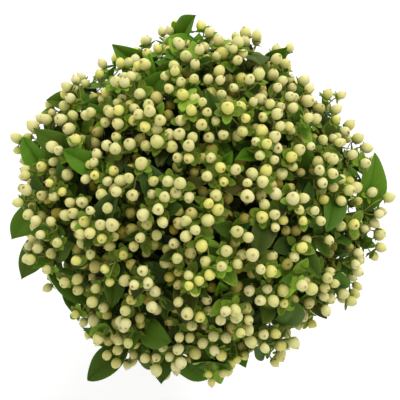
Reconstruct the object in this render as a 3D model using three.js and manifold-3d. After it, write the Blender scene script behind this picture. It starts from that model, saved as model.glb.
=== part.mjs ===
// A round hand-tied bunch of hypericum, cut for a vase and standing on its cut ends.
// Nineteen leafy stems cross in a spiral at the tie. Above it each one bends outwards to its own share
// of a domed head and branches into clusters of ivory berries; below it they splay into a foot.
// Millimetres, +Z up, origin at the cut end of the middle stem.
import * as THREE from "three";
import { mergeVertices } from "three/addons/utils/BufferGeometryUtils.js";
import Module from "manifold-3d";

const wasm = await Module();
wasm.setup();

// ---- driving dimensions ----------------------------------------------------------------------------

const waistHeight = 178; // the tie, above the cut ends
const ringCounts = [1, 6, 12]; // stems in each ring round the middle at the tie
const ringStep = 5.1; // from one ring to the next at the tie
const splay = 27; // height over which a stem drifts sideways by its own distance from the axis
const twist = 78; // degrees that a stem goes round the axis between the tie and its tip
const bend = { leave: 0.4, arrive: 0.36 }; // shares of a stem's rise that it runs straight at each end
const slack = 1.04; // length of a bent stem over its rise
const stalkRadius = 2.3;
const stalkTipRadius = 1.3;
const stalkSides = 6;
const stalkRings = 6; // from the tie to the tip
const twigRadius = 1.0;
const twigNode = { least: 26, share: 0.78 }; // below the stem's tip, with a share of the way to the cluster
const twigBend = 0.42; // share of a twig that runs straight into its cluster
const pedicelRadius = 0.75;

const headRadius = 146; // where the berry stalks of the outermost clusters part
const headHeight = 100; // of the dome, above its widest level
const headLevel = 318; // the widest level, above the cut ends
const lobes = { turn: 5, two: 0.025, four: 0.045 }; // the head is a little fuller to its four sides
const lowestCluster = 99; // degrees from the top of the dome to the lowest clusters
const clustersPerStem = 7;
const clusterLift = 8; // clusters stand this much above or below the even dome
const clusterWobble = 0.055; // radians that a cluster may lie off its even place
const upright = { tip: 0.45, cluster: 0.22, leaf: 0.6 }; // turned up from the way that the dome faces
const youngShare = 0.16; // of the clusters have small young berries
const berriesPerCluster = 6; // that the layout makes room for
const secondBerries = 0.7; // share of the clusters with two solid berries, where the others have one
const berryRadius = { least: 4.6, most: 5.9, large: 6.6, young: 4.1 };
const berryLength = 1.12; // length over width
const berrySides = 5;
const berryFan = { reach: 15.5, vary: 2.5, middle: 1.5, tilt: 50, tiltVary: 12, turnVary: 0.28 };
const berryAim = { own: 0.55, cluster: 0.75 }; // a berry points between its pedicel's way and its cluster's
const largeShare = 0.06; // of the berries are large
const wanted = { berry: 1.2, blade: 3.2, hub: 4 }; // room that berries seek beyond their own radius
const kept = { berry: 0.35, blade: 1.7, pedicel: 3.1, otherPedicel: 1 }; // the least that they may have
const ease = { berry: 0.4, blade: 0.3, hub: 0.4, reach: 0.3 }; // share of what is missing, made up in one pass
const settlingPasses = 40;

const leafThickness = 0.8;
const leafFold = 14; // degrees that each half rises from the rib
const leafWidth = 0.255; // half width over length
const leafOutline = { shift: 0.78, full: 0.8 }; // widest a little past the middle, with a blunt outline
const leafArch = { top: 0.18, lower: 0.16, at: 0.45 }; // height of the bend over length, and its place
const leafRoom = 2.6; // kept between a blade and wood or other blades
const leafHold = 7; // stretch of its own wood that a blade may lie close to
const pedicelSpace = { reach: 7, radius: 3.5 }; // kept free of blades above a cluster's hub

const tie = { turns: 4, turnRadius: 1.6, gap: 0.7, sides: 20 };

const goldenAngle = Math.PI * (3 - Math.sqrt(5));
const up = new THREE.Vector3(0, 0, 1);
const radians = THREE.MathUtils.degToRad;
const seed = 17;

// A repeatable draw from 0 to 1 for three whole numbers.
function draw(a, b, c = 0) {
  let h = Math.imul(a + 1, 0x9e3779b1) ^ Math.imul(b + 1, 0x85ebca6b) ^ Math.imul(c + 1 + seed, 0xc2b2ae35);
  h = Math.imul(h ^ (h >>> 15), 0x2c1b3c6d);
  h = Math.imul(h ^ (h >>> 12), 0x297a2d39);
  return ((h ^ (h >>> 15)) >>> 0) / 4294967296;
}

const spread = (a, b, c) => 2 * draw(a, b, c) - 1;

// ---- the head ----------------------------------------------------------------------------------------

// How far the head reaches in a direction, against an even round.
function fullness(phi) {
  const lobe = phi + radians(lobes.turn);
  return 1 + lobes.two * Math.cos(2 * lobe) + lobes.four * Math.cos(4 * lobe);
}

// A point of the dome, lifted above it, and the direction that the dome faces there.
function onHead(theta, phi, lift = 0) {
  const reach = headRadius * (1 + (fullness(phi) - 1) * Math.sin(theta) ** 2);
  const flat = new THREE.Vector3(Math.cos(phi), Math.sin(phi), 0);
  const out = flat.clone().multiplyScalar(Math.sin(theta) / reach);
  out.addScaledVector(up, Math.cos(theta) / headHeight).normalize();
  const at = flat.multiplyScalar(reach * Math.sin(theta));
  at.z = headLevel + headHeight * Math.cos(theta);
  return { at: at.addScaledVector(out, lift), out };
}

// A point above or below the dome at a place of the plan, and the way the dome faces there.
function aboveHead(x, y, lift) {
  const phi = Math.atan2(y, x);
  const share = Math.hypot(x, y) / (headRadius * fullness(phi) + lift);
  const theta = Math.asin(Math.min(share, 0.99)); // the outermost tips lie at the widest level
  const level = headLevel + (headHeight + lift) * Math.cos(theta);
  return { at: new THREE.Vector3(x, y, level), out: onHead(theta, phi).out };
}

// Angles from the top of the dome that give every cluster the same share of its surface.
function evenAngles(count) {
  const steps = 400;
  const step = radians(lowestCluster) / steps;
  const area = [0];
  for (let k = 0; k < steps; k++) {
    const theta = step * (k + 0.5);
    const slant = Math.hypot(headRadius * Math.cos(theta), headHeight * Math.sin(theta));
    area.push(area[k] + Math.sin(theta) * slant);
  }
  return Array.from({ length: count }, (_, j) => {
    const wanted = (area[steps] * (j + 0.5)) / count;
    const k = area.findIndex((a) => a >= wanted) - 1;
    return step * (k + (wanted - area[k]) / (area[k + 1] - area[k]));
  });
}

// The clusters of the whole head in a sunflower spiral, each given to the stem whose share it lies in.
function planClusters() {
  const stems = ringCounts.reduce((a, b) => a + b);
  const angles = evenAngles(stems * clustersPerStem);
  const places = angles.map((theta, j) => ({ j, theta, phi: (j * goldenAngle) % (2 * Math.PI) }));
  const shares = [];
  let from = 0;
  for (const count of ringCounts) {
    const ring = places.slice(from, (from += count * clustersPerStem)).sort((a, b) => a.phi - b.phi);
    for (let m = 0; m < count; m++) {
      shares.push(ring.slice(m * clustersPerStem, (m + 1) * clustersPerStem));
    }
  }
  return shares.map((share, stem) =>
    share.map(({ j, theta, phi }) => {
      const drift = (clusterWobble * spread(j, 2)) / Math.sin(theta + 0.2); // as far round as along
      const { at, out } = onHead(theta + clusterWobble * spread(j, 1), phi + drift, clusterLift * spread(j, 3));
      const facing = out.addScaledVector(up, upright.cluster).normalize();
      return { id: j, stem, hub: at, out: facing, young: draw(j, 4) < youngShare };
    }),
  );
}

// ---- stems -------------------------------------------------------------------------------------------

function bezier(points, t) {
  const [a, b, c, d] = points;
  const curve = d ? new THREE.CubicBezierCurve3(a, b, c, d) : new THREE.QuadraticBezierCurve3(a, b, c);
  return curve.getPoint(t);
}

const sampled = (points, count) => Array.from({ length: count + 1 }, (_, k) => bezier(points, k / count));

// A point of the straight-sided row that stands for a path in the solid.
function onRow(row, t) {
  const k = Math.min(Math.floor(t * (row.length - 1)), row.length - 2);
  return row[k].clone().lerp(row[k + 1], t * (row.length - 1) - k);
}

// A stem's path: straight from the cut end through the tie, then bending outwards to its middle cluster.
function planStalk(ring, slot, clusters) {
  const count = ringCounts[ring];
  const phi = count === 1 ? 0 : ((slot + 0.5) / count) * 2 * Math.PI - radians(twist);
  const waist = new THREE.Vector3(Math.cos(phi), Math.sin(phi), 0).multiplyScalar(ring * ringStep);
  const lean = new THREE.Vector3(-waist.y / splay, waist.x / splay, 1);
  waist.z = waistHeight;
  const foot = waist.clone().addScaledVector(lean, -waistHeight);
  const middle = clusters.reduce((sum, c) => sum.add(c.hub), new THREE.Vector3()).divideScalar(clusters.length);
  const tip = clusters.reduce((best, c) => (c.hub.distanceTo(middle) < best.hub.distanceTo(middle) ? c : best));
  const rise = tip.hub.distanceTo(waist);
  lean.normalize();
  const arrival = tip.out.clone().addScaledVector(up, upright.tip).normalize();
  const path = [waist, waist.clone().addScaledVector(lean, bend.leave * rise),
    tip.hub.clone().addScaledVector(arrival, -bend.arrive * rise), tip.hub];
  const row = sampled(path, stalkRings);
  tip.arrival = tip.hub.clone().sub(row[stalkRings - 1]).normalize();
  return { foot, lean, row, tip, rise, phi: Math.atan2(tip.hub.y, tip.hub.x) };
}

// The side twigs of a stem, each from a node of the stalk to the cluster it bears.
function planTwigs(stalk, clusters) {
  return clusters.filter((c) => c !== stalk.tip).map((c) => {
    const below = twigNode.least + twigNode.share * c.hub.distanceTo(stalk.tip.hub);
    const node = onRow(stalk.row, 1 - below / (slack * stalk.rise));
    const over = c.hub.clone().addScaledVector(c.out, -twigBend * c.hub.distanceTo(node));
    const row = sampled([node, over, c.hub], 2);
    c.arrival = c.hub.clone().sub(row[1]).normalize();
    return { cluster: c, row };
  });
}

function planStems() {
  const clusters = planClusters();
  const stems = [];
  ringCounts.forEach((count, ring) => {
    for (let slot = 0; slot < count; slot++) {
      const own = clusters[stems.length];
      const stalk = planStalk(ring, slot, own);
      stems.push({ index: stems.length, ring, clusters: own, stalk, twigs: planTwigs(stalk, own), leaves: [] });
    }
  });
  return stems;
}

// ---- leaves ------------------------------------------------------------------------------------------

// The broad leaves that show between the berries: the tip in plan, the way it points in degrees, and the
// length of the blade.
const topLeaves = [
  [-139, 97, 149, 44], [-159, 63, 130, 52], [-67, 134, 35, 38], [-31, 151, 208, 38], [7, 162, 40, 44],
  [-17, 125, 315, 44], [-5, 110, 75, 44], [-28, 118, 100, 42], [-105, 91, 190, 44], [-121, 55, 145, 48],
  [-54, 31, 100, 46], [-66, 14, 95, 40], [11, -16, 320, 50], [39, 15, 335, 42], [2, 93, 100, 46],
  [48, 91, 120, 50], [64, 62, 180, 52], [89, 58, 125, 52], [163, 39, 52, 56], [102, 82, 100, 42],
  [52, 120, 340, 42], [-168, -34, 245, 44], [-160, -70, 258, 56], [-114, -43, 330, 48], [-115, -101, 275, 52],
  [-75, -91, 270, 44], [-23, -122, 320, 50], [-103, -112, 200, 44], [-14, -103, 250, 46], [-95, -157, 235, 46],
  [-59, -162, 300, 46], [-44, -165, 250, 54], [-40, -66, 315, 50], [20, -162, 300, 52], [114, -25, 225, 50],
  [132, -33, 255, 44], [104, -57, 5, 42], [130, -51, 60, 44], [45, -45, 290, 42], [57, -102, 285, 42],
  [85, -86, 50, 44], [43, -127, 205, 46], [109, -76, 85, 40], [46, -147, 300, 40], [16, -94, 130, 42],
];
const tipLift = 14; // of such a leaf's tip above the level where the berry stalks part
const baseDepth = 24; // of its base below that
const baseReach = 0.85; // from tip to base in plan, over length

// The leaves below the berries: how many for the stems of each ring, their length, where they grow along a
// stem, how far to its side they point in degrees, and how steeply.
const lowerLeaves = {
  perStem: [2, 2, 5],
  length: 52,
  lengthVary: 7,
  first: 0.5,
  step: 0.11,
  stepVary: 0.04,
  side: 35,
  sideVary: 50,
  steep: 0.4,
  steepVary: 0.4,
};

// The shape of a blade: rows from base to tip, each with its place along the rib and half its width.
function bladeRow(leaf, t) {
  const rib = bezier(leaf.rib, t);
  const before = bezier(leaf.rib, Math.max(t - 0.02, 0));
  const along = bezier(leaf.rib, Math.min(t + 0.02, 1)).sub(before).normalize();
  const side = new THREE.Vector3().crossVectors(along, leaf.facing).normalize();
  const face = new THREE.Vector3().crossVectors(side, along);
  const half = leaf.length * leafWidth * Math.sin(Math.PI * t ** leafOutline.shift) ** leafOutline.full;
  return { rib, side, face, half };
}

function bladePoint(row, across) {
  const rise = Math.abs(across) * Math.sin(radians(leafFold));
  return row.rib.clone().addScaledVector(row.side, across * row.half * Math.cos(radians(leafFold)))
    .addScaledVector(row.face, rise * row.half);
}

// Points all over a blade, which stand for it where clearances are worked out.
function bladeSamples(leaf) {
  const samples = [];
  const [rows, across] = [11, 3];
  for (let k = 1; k <= rows; k++) {
    const row = bladeRow(leaf, k / rows);
    for (let m = -across; m <= across; m++) samples.push(bladePoint(row, m / across));
  }
  return samples;
}

function leafBetween(base, tip, facing, arch) {
  const length = base.distanceTo(tip);
  const over = base.clone().lerp(tip, leafArch.at).addScaledVector(facing, arch * length);
  return { rib: [base, over, tip], facing, length };
}

// Every stalk and twig as a row of points with a radius, tagged with its stem. Leaves grow from these points,
// but not low down on a stalk.
function woodSamples(stems) {
  const wood = [];
  for (const stem of stems) {
    const stretch = (row, steps, radius, from) => {
      for (let k = from; k <= steps; k++) {
        wood.push({ at: onRow(row, k / steps), radius, stem: stem.index, wood: true });
      }
    };
    stretch(stem.stalk.row, 70, stalkRadius, 12);
    for (const twig of stem.twigs) stretch(twig.row, 24, twigRadius, 0);
    for (const { hub, out } of stem.clusters) {
      const { reach, radius } = pedicelSpace;
      wood.push({ at: hub.clone().addScaledVector(out, reach), radius, stem: stem.index, space: true });
    }
  }
  return wood;
}

// The least room between a blade and things round it, leaving out the wood that it grows from.
function room(leaf, things) {
  const reach = 0.75 * leaf.length + 8;
  const held = (o) => o.wood && o.stem === leaf.stem && o.at.distanceTo(leaf.rib[0]) < leafHold;
  const near = things.filter((o) => o.at.distanceTo(leaf.rib[1]) < reach && !held(o));
  let least = reach;
  for (const sample of bladeSamples(leaf)) {
    for (const o of near) least = Math.min(least, sample.distanceTo(o.at) - o.radius);
  }
  return least;
}

// Hangs a leaf on the wood that best suits a wanted base and tip, trying small shifts for the clearest.
function hangLeaf(stems, wood, taken, { base, tip, facing, arch, length, id, tries, shift, broad }) {
  const fits = (at, end) => Math.abs(at.distanceTo(end) / length - 1.02) < 0.2;
  const roots = wood.filter((w) => !w.space && fits(w.at, tip))
    .map((w) => ({ w, miss: w.at.distanceTo(base) + Math.abs(w.at.distanceTo(tip) - length) }))
    .sort((a, b) => a.miss - b.miss).slice(0, 12);
  let best = null;
  for (const { w, miss } of roots) {
    for (let k = 0; k < tries; k++) {
      const end = tip.clone().add(new THREE.Vector3(spread(id, k, 5), spread(id, k, 6), spread(id, k, 7))
        .multiplyScalar(k * shift));
      if (!fits(w.at, end)) continue;
      const leaf = { ...leafBetween(w.at, end, facing, arch), stem: w.stem, id, broad };
      const least = Math.min(room(leaf, wood), room(leaf, taken));
      const score = Math.min(least, 6) - 0.06 * miss - 0.1 * k; // past 6 mm more room counts for nothing
      if (least > leafRoom && (!best || score > best.score)) best = { ...leaf, score };
    }
  }
  if (!best) return false;
  stems[best.stem].leaves.push(best);
  for (const at of bladeSamples(best)) taken.push({ at, radius: 1.2, stem: best.stem });
  return true;
}

function planLeaves(stems) {
  const wood = woodSamples(stems);
  const taken = [];
  topLeaves.forEach(([x, y, heading, length], id) => {
    const way = new THREE.Vector3(Math.cos(radians(heading)), Math.sin(radians(heading)), 0);
    const tip = aboveHead(x, y, tipLift);
    const reach = baseReach * length;
    const base = aboveHead(x - reach * way.x, y - reach * way.y, -baseDepth).at;
    const facing = tip.out.addScaledVector(up, upright.leaf).normalize();
    const leaf = { base, tip: tip.at, facing, arch: leafArch.top, length, id, broad: true };
    for (const [tries, shift] of [[8, 1.5], [16, 2.5]]) {
      if (hangLeaf(stems, wood, taken, { ...leaf, tries, shift })) break;
    }
  });
  // Lower down, leaves fill the head from inside and hang out below it.
  const { perStem, first, step, stepVary, side, sideVary, steep, steepVary } = lowerLeaves;
  for (const stem of stems) {
    for (let k = 0; k < perStem[stem.ring]; k++) {
      const id = 100 + stem.index * 10 + k;
      const base = onRow(stem.stalk.row, first + step * k + stepVary * spread(id, 1));
      const turn = stem.stalk.phi + (k % 2 ? 1 : -1) * radians(side + sideVary * draw(id, 2));
      const length = lowerLeaves.length + lowerLeaves.lengthVary * spread(id, 3);
      const rise = steep + steepVary * spread(id, 4);
      const way = new THREE.Vector3(Math.cos(turn), Math.sin(turn), rise).normalize();
      const facing = up.clone().addScaledVector(way, -0.35).normalize();
      const tip = base.clone().addScaledVector(way, length);
      const leaf = { base, tip, facing, arch: leafArch.lower, length, id, broad: false };
      hangLeaf(stems, wood, taken, { ...leaf, tries: 18, shift: 2.5 });
    }
  }
  return taken;
}

// ---- berries -----------------------------------------------------------------------------------------

// A cluster's berries before they settle: one in the middle and the rest leaning out round it.
function fanOut(c) {
  const turn = 2 * Math.PI * draw(c.id, 5);
  const side = new THREE.Vector3().crossVectors(c.out, new THREE.Vector3(-c.out.y, c.out.x, 0.3)).normalize();
  const other = new THREE.Vector3().crossVectors(c.out, side);
  const { least, most, large, young } = berryRadius;
  return Array.from({ length: berriesPerCluster }, (_, b) => {
    const lean = b === 0 ? 0.15 * draw(c.id, 11) : 1; // the middle one leans out far less
    const tilt = radians(lean * (berryFan.tilt + berryFan.tiltVary * spread(c.id, b, 6)));
    const round = turn + (2 * Math.PI * b) / (berriesPerCluster - 1) + berryFan.turnVary * spread(c.id, b, 7);
    const way = c.out.clone().multiplyScalar(Math.cos(tilt))
      .addScaledVector(side, Math.sin(tilt) * Math.cos(round))
      .addScaledVector(other, Math.sin(tilt) * Math.sin(round));
    const size = draw(c.id, b, 8);
    const grown = size > 1 - largeShare ? large : least + (most - least) * size;
    const radius = c.young ? (grown * young) / least : grown;
    const reach = berryFan.reach + berryFan.vary * spread(c.id, b, 9) + (b === 0 ? berryFan.middle : 0);
    return { cluster: c, order: b, radius, reach, at: c.hub.clone().addScaledVector(way, reach) };
  });
}

function planBerries(stems, blades) {
  const hubs = stems.flatMap((stem) => stem.clusters);
  const berries = hubs.flatMap(fanOut);
  for (let pass = 0; pass < settlingPasses; pass++) settle(berries, blades, hubs);
  for (const berry of berries) {
    const { hub, out } = berry.cluster;
    const way = berry.at.clone().sub(hub).normalize();
    berry.axis = way.multiplyScalar(berryAim.own).addScaledVector(out, berryAim.cluster).normalize();
  }
  return berries.filter((berry, k) => hasRoom(berry, k, berries, blades));
}

// One pass that eases berries away from each other, from blades and from other clusters' hubs.
function settle(berries, blades, hubs) {
  const moves = berries.map(() => new THREE.Vector3());
  const away = new THREE.Vector3();
  const push = (k, from, need, share) => {
    away.copy(berries[k].at).sub(from);
    const apart = away.length();
    if (apart < need) moves[k].addScaledVector(away, (share * (need - apart)) / apart);
  };
  berries.forEach((berry, k) => {
    berries.forEach((other, m) => {
      if (m !== k) push(k, other.at, berry.radius + other.radius + wanted.berry, ease.berry);
    });
    for (const blade of blades) push(k, blade.at, berry.radius + wanted.blade, ease.blade);
    for (const hub of hubs) if (hub !== berry.cluster) push(k, hub.hub, berry.radius + wanted.hub, ease.hub);
    away.copy(berry.at).sub(berry.cluster.hub);
    moves[k].addScaledVector(away, (ease.reach * (berry.reach - away.length())) / away.length());
  });
  berries.forEach((berry, k) => berry.at.add(moves[k]));
}

function distanceToLine(at, from, to) {
  return new THREE.Line3(from, to).closestPointToPoint(at, true, new THREE.Vector3()).distanceTo(at);
}

// Whether a berry and its pedicel are clear of blades, of berries before it and of other pedicels.
function hasRoom(berry, k, berries, blades) {
  const { hub, out } = berry.cluster;
  if (Math.abs(berry.at.distanceTo(hub) - berry.reach) > 5) return false; // pushed too far off
  if (berry.at.clone().sub(hub).dot(out) < 0.5) return false; // turned back into the head
  for (const blade of blades) {
    if (blade.at.distanceTo(berry.at) < berry.radius + kept.blade) return false;
    if (distanceToLine(blade.at, hub, berry.at) < kept.pedicel) return false;
  }
  return !berries.some((other, m) => {
    if (m === k) return false;
    const toPedicel = distanceToLine(berry.at, other.cluster.hub, other.at);
    if (other.cluster !== berry.cluster && toPedicel < berry.radius + kept.otherPedicel) return true;
    return m < k && berry.at.distanceTo(other.at) < berry.radius + other.radius + kept.berry;
  });
}

// ---- solids ------------------------------------------------------------------------------------------

function closed(points, faces) {
  const geometry = new THREE.BufferGeometry();
  geometry.setAttribute("position", new THREE.Float32BufferAttribute(points, 3));
  geometry.setIndex(faces);
  const merged = mergeVertices(geometry, 1e-4);
  return new wasm.Manifold(new wasm.Mesh({
    numProp: 3,
    vertProperties: merged.attributes.position.array,
    triVerts: new Uint32Array(merged.index.array),
  }));
}

// A closed skin over a row of rings. A ring of one side is a point, and rings may differ in their sides.
function skin(rings) {
  const points = [];
  const faces = [];
  const loops = rings.map(({ at, along, level, radius, sides, turn }) => {
    const side = new THREE.Vector3().crossVectors(along, level).normalize();
    const other = new THREE.Vector3().crossVectors(along, side).normalize();
    return Array.from({ length: sides }, (_, k) => {
      const angle = 2 * Math.PI * (k / sides + turn);
      const p = at.clone().addScaledVector(side, radius * Math.cos(angle));
      p.addScaledVector(other, radius * Math.sin(angle));
      return points.push(p.x, p.y, p.z) / 3 - 1;
    });
  });
  for (let k = 0; k + 1 < loops.length; k++) {
    const [low, high] = [loops[k], loops[k + 1]];
    const lead = rings[k].turn - rings[k + 1].turn;
    let a = low.length === 1 ? 1 : 0;
    let b = high.length === 1 ? 1 : 0;
    while (a < low.length || b < high.length) {
      const [from, to] = [low[a % low.length], high[b % high.length]];
      const lowIsNext = (a + 1) / low.length + lead <= (b + 1) / high.length + 1e-6;
      if (b >= high.length || (a < low.length && lowIsNext)) {
        faces.push(from, low[(a + 1) % low.length], to);
        a++;
      } else {
        faces.push(from, high[(b + 1) % high.length], to);
        b++;
      }
    }
  }
  const last = loops[loops.length - 1];
  for (let k = 1; k + 1 < loops[0].length; k++) faces.push(loops[0][0], loops[0][k + 1], loops[0][k]);
  for (let k = 1; k + 1 < last.length; k++) faces.push(last[0], last[k], last[k + 1]);
  return closed(points, faces);
}

// A direction square to a bend, so that the rings along it don't turn.
function levelOf(first, last) {
  for (const other of [last, up, new THREE.Vector3(1, 0, 0)]) {
    const level = new THREE.Vector3().crossVectors(first, other);
    if (level.length() > 0.05) return level.normalize();
  }
  return null;
}

// A berry as a skin's last rings: the end of its pedicel, two level rings of its belly and its tip.
function berryRings({ at, axis, radius }) {
  const belly = (height, width, sides, turn) => ({
    at: at.clone().addScaledVector(axis, height * berryLength * radius),
    along: axis,
    radius: width * radius,
    sides,
    turn,
  });
  const level = 1 / Math.sqrt(5); // of the rings of an icosahedron, where they are twice as wide
  return [
    belly(-0.9, pedicelRadius / radius, 3, 0),
    belly(-level, 2 * level, berrySides, 0),
    belly(level, 2 * level, berrySides, 0.5 / berrySides),
    belly(1, 0, 1, 0),
  ];
}

// Wood as a closed skin, along a row of points with a radius for each, running on into a berry.
// A radius of 0 is a pointed start inside the wood that bears it.
function woodSolid(row, radii, sides, berry) {
  const centres = row.map((at, k) => ({ at, radius: radii[k], sides: radii[k] ? sides : 1, turn: 0 }));
  centres.push(...berryRings(berry));
  const last = centres.length - 1;
  const alongAt = (k) => {
    const [before, after] = [centres[Math.max(k - 1, 0)], centres[Math.min(k + 1, last)]];
    return after.at.clone().sub(before.at).normalize();
  };
  const level = levelOf(alongAt(0), alongAt(last));
  return skin(centres.map((ring, k) => ({ along: alongAt(k), ...ring, level })));
}

// A stalk is cut level at its foot and runs on into the first berry of its middle cluster.
function stalkSolid(stalk, berry) {
  const pastFoot = stalk.foot.clone().addScaledVector(stalk.lean, -3 * stalkRadius);
  const row = [pastFoot, ...stalk.row];
  const taper = (k) => THREE.MathUtils.lerp(stalkRadius, stalkTipRadius, Math.max(k - 1, 0) / stalkRings);
  return woodSolid(row, row.map((_, k) => taper(k)), stalkSides, berry).trimByPlane([0, 0, 1], 0);
}

// A twig starts inside the stalk and runs on into the first berry of its cluster.
function twigSolid({ row }, berry) {
  const start = row[0].clone().lerp(row[1], 0.16); // where it has its full width, still inside
  return woodSolid([row[0], start, row[1], row[2]], [0, twigRadius, twigRadius, twigRadius], 3, berry);
}

// Any further berry has a pedicel that starts inside the twig, a little below its end.
function berrySolid(berry) {
  const { hub, arrival } = berry.cluster;
  const start = hub.clone().addScaledVector(arrival, -1.4 * berry.order);
  const full = start.clone().lerp(berry.at, 0.2);
  return woodSolid([start, full], [0, pedicelRadius], 3, berry);
}

// A thin blade with a rib, arched along its length and raised at both edges.
function leafSolid(leaf) {
  const faces = [];
  const points = [];
  const put = (at) => points.push(at.x, at.y, at.z) / 3 - 1;
  const [base, tip] = [0, 1].map((t) => put(bladeRow(leaf, t).rib));
  const crossRows = leaf.broad ? [0.2, 0.5, 0.8] : [0.3, 0.72]; // places along the blade
  const grid = crossRows.map((t) => {
    const row = bladeRow(leaf, t);
    return [0.5, -0.5].map((s) => [-1, 0, 1].map((across) =>
      put(bladePoint(row, across).addScaledVector(row.face, s * leafThickness))));
  });
  const strip = (a, b, c, d) => faces.push(a, b, c, a, c, d); // a and b on one row, c and d back on the next
  for (let k = 0; k + 1 < grid.length; k++) {
    const [[top, under], [nextTop, nextUnder]] = [grid[k], grid[k + 1]];
    for (const half of [0, 1]) {
      strip(top[half], top[half + 1], nextTop[half + 1], nextTop[half]);
      strip(under[half + 1], under[half], nextUnder[half], nextUnder[half + 1]);
    }
    strip(under[0], top[0], nextTop[0], nextUnder[0]);
    strip(top[2], under[2], nextUnder[2], nextTop[2]);
  }
  // Each end closes on a point, all the way round its row.
  const round = ([top, under]) => [...top, ...[...under].reverse()];
  const first = round(grid[0]);
  const end = round(grid[grid.length - 1]);
  for (let k = 0; k < first.length; k++) {
    const next = (k + 1) % first.length;
    faces.push(base, first[next], first[k]);
    faces.push(tip, end[k], end[next]);
  }
  return closed(points, faces);
}

// Turns of twine side by side round the bundle, as one ring.
function tieGeometry() {
  const inner = ringStep * (ringCounts.length - 1) + stalkRadius + tie.gap;
  const half = tie.turns * tie.turnRadius;
  const profile = [new THREE.Vector2(inner, -half), new THREE.Vector2(inner + tie.turnRadius, -half)];
  for (let k = 0; k < tie.turns; k++) {
    const level = -half + tie.turnRadius * (2 * k + 1);
    profile.push(new THREE.Vector2(inner + 2 * tie.turnRadius, level));
    profile.push(new THREE.Vector2(inner + tie.turnRadius, level + tie.turnRadius));
  }
  profile.push(new THREE.Vector2(inner, half), new THREE.Vector2(inner, -half));
  return new THREE.LatheGeometry(profile, tie.sides).rotateX(Math.PI / 2).translate(0, 0, waistHeight);
}

// ---- the bunch -----------------------------------------------------------------------------------------

function stemGeometry(stem, berries) {
  const borne = (cluster) => berries.filter((berry) => berry.cluster === cluster)
    .slice(0, draw(cluster.id, 10) < secondBerries ? 2 : 1);
  const pieces = [stalkSolid(stem.stalk, borne(stem.stalk.tip)[0])];
  for (const twig of stem.twigs) pieces.push(twigSolid(twig, borne(twig.cluster)[0]));
  for (const cluster of stem.clusters) pieces.push(...borne(cluster).slice(1).map(berrySolid));
  pieces.push(...stem.leaves.map(leafSolid));
  const fused = wasm.Manifold.union(pieces).getMesh();
  const geometry = new THREE.BufferGeometry();
  geometry.setAttribute("position", new THREE.BufferAttribute(fused.vertProperties, 3));
  geometry.setIndex(new THREE.BufferAttribute(fused.triVerts, 1));
  geometry.computeVertexNormals();
  return geometry;
}

function piece(name, geometry, color, roughness) {
  const mesh = new THREE.Mesh(geometry, new THREE.MeshStandardMaterial({ color, roughness, metalness: 0 }));
  mesh.name = name;
  return mesh;
}

const stems = planStems();
const berries = planBerries(stems, planLeaves(stems));
const bunch = new THREE.Group();
for (const stem of stems) {
  const name = `stem_${String(stem.index + 1).padStart(2, "0")}`;
  bunch.add(piece(name, stemGeometry(stem, berries), 0xb9bf7c, 0.55));
}
bunch.add(piece("tie", tieGeometry(), 0xb08d57, 0.9));

export default bunch;
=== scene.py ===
import bpy
import math
import numpy as np
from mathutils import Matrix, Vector


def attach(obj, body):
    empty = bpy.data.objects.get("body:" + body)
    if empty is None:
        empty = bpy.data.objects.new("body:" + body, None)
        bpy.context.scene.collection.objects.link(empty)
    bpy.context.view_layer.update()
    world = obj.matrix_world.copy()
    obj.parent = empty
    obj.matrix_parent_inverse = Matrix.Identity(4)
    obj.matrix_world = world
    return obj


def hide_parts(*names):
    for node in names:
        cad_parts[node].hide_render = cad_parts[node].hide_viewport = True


# A round hand-tied bunch of hypericum: nineteen leafy stems with ivory berries, tied with twine.
# The layout is worked out in millimetres by the rule that the solids follow, and the pieces are made from it.

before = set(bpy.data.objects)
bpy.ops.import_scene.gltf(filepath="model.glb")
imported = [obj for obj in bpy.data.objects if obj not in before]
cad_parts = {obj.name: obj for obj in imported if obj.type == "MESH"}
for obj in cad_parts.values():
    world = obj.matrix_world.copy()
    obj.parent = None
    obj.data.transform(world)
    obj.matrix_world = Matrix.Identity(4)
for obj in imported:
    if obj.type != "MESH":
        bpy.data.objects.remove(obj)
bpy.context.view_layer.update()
print("frame loaded:", len(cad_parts), "solids")

mm = 0.001
up = np.array([0.0, 0.0, 1.0])
fullTurn = 2 * math.pi
goldenAngle = math.pi * (3 - math.sqrt(5))
nearby = 0.02               # step along a curve that gives its direction

bundle = {
    "waist": 178,           # height of the tie
    "rings": [1, 6, 12],    # stems in each ring at the tie
    "ringStep": 5.1,        # between the rings
    "splay": 27,            # height over which a stem drifts by its own distance from the axis
    "twist": 78,            # degrees round the axis from the tie to the tip
    "leave": 0.4,           # how long a stalk keeps its way past the tie, and before its tip
    "arrive": 0.36,
    "slack": 1.04,          # its length from the tie to the tip, against the straight way
    "stalkRings": 6,        # straight stretches of the solid's stalk above the tie
    "twigLeast": 26,        # a twig leaves this far below the tip, and farther the more it reaches out
    "twigShare": 0.78,
    "twigBend": 0.42,       # how far below its cluster a twig bends, against its reach
    "seed": 17,
}

head = {
    "radius": 146,          # of the dome's rim, the dome's height over it, and the rim's over the floor
    "height": 100,
    "level": 318,
    "edge": 0.99,           # the farthest out that a leaf's place is taken to be, in radii
    "lobeTurn": 5,          # degrees
    "lobeTwo": 0.025,       # how much two and four soft lobes swell the outline
    "lobeFour": 0.045,
    "lowest": 99,           # degrees from the top down to the lowest clusters
    "slices": 400,
    "perStem": 7,           # clusters
    "lift": 8,              # how far off the dome a cluster may be, and in radians off its even place
    "wobble": 0.055,
    "ease": 0.2,            # keeps the wobble small round the top
    "tipUp": 0.45,          # how much of up is in the way a stalk ends, and in the way out of a cluster
    "clusterUp": 0.22,
    "young": 0.16,          # share of clusters with small young berries
}


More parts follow.
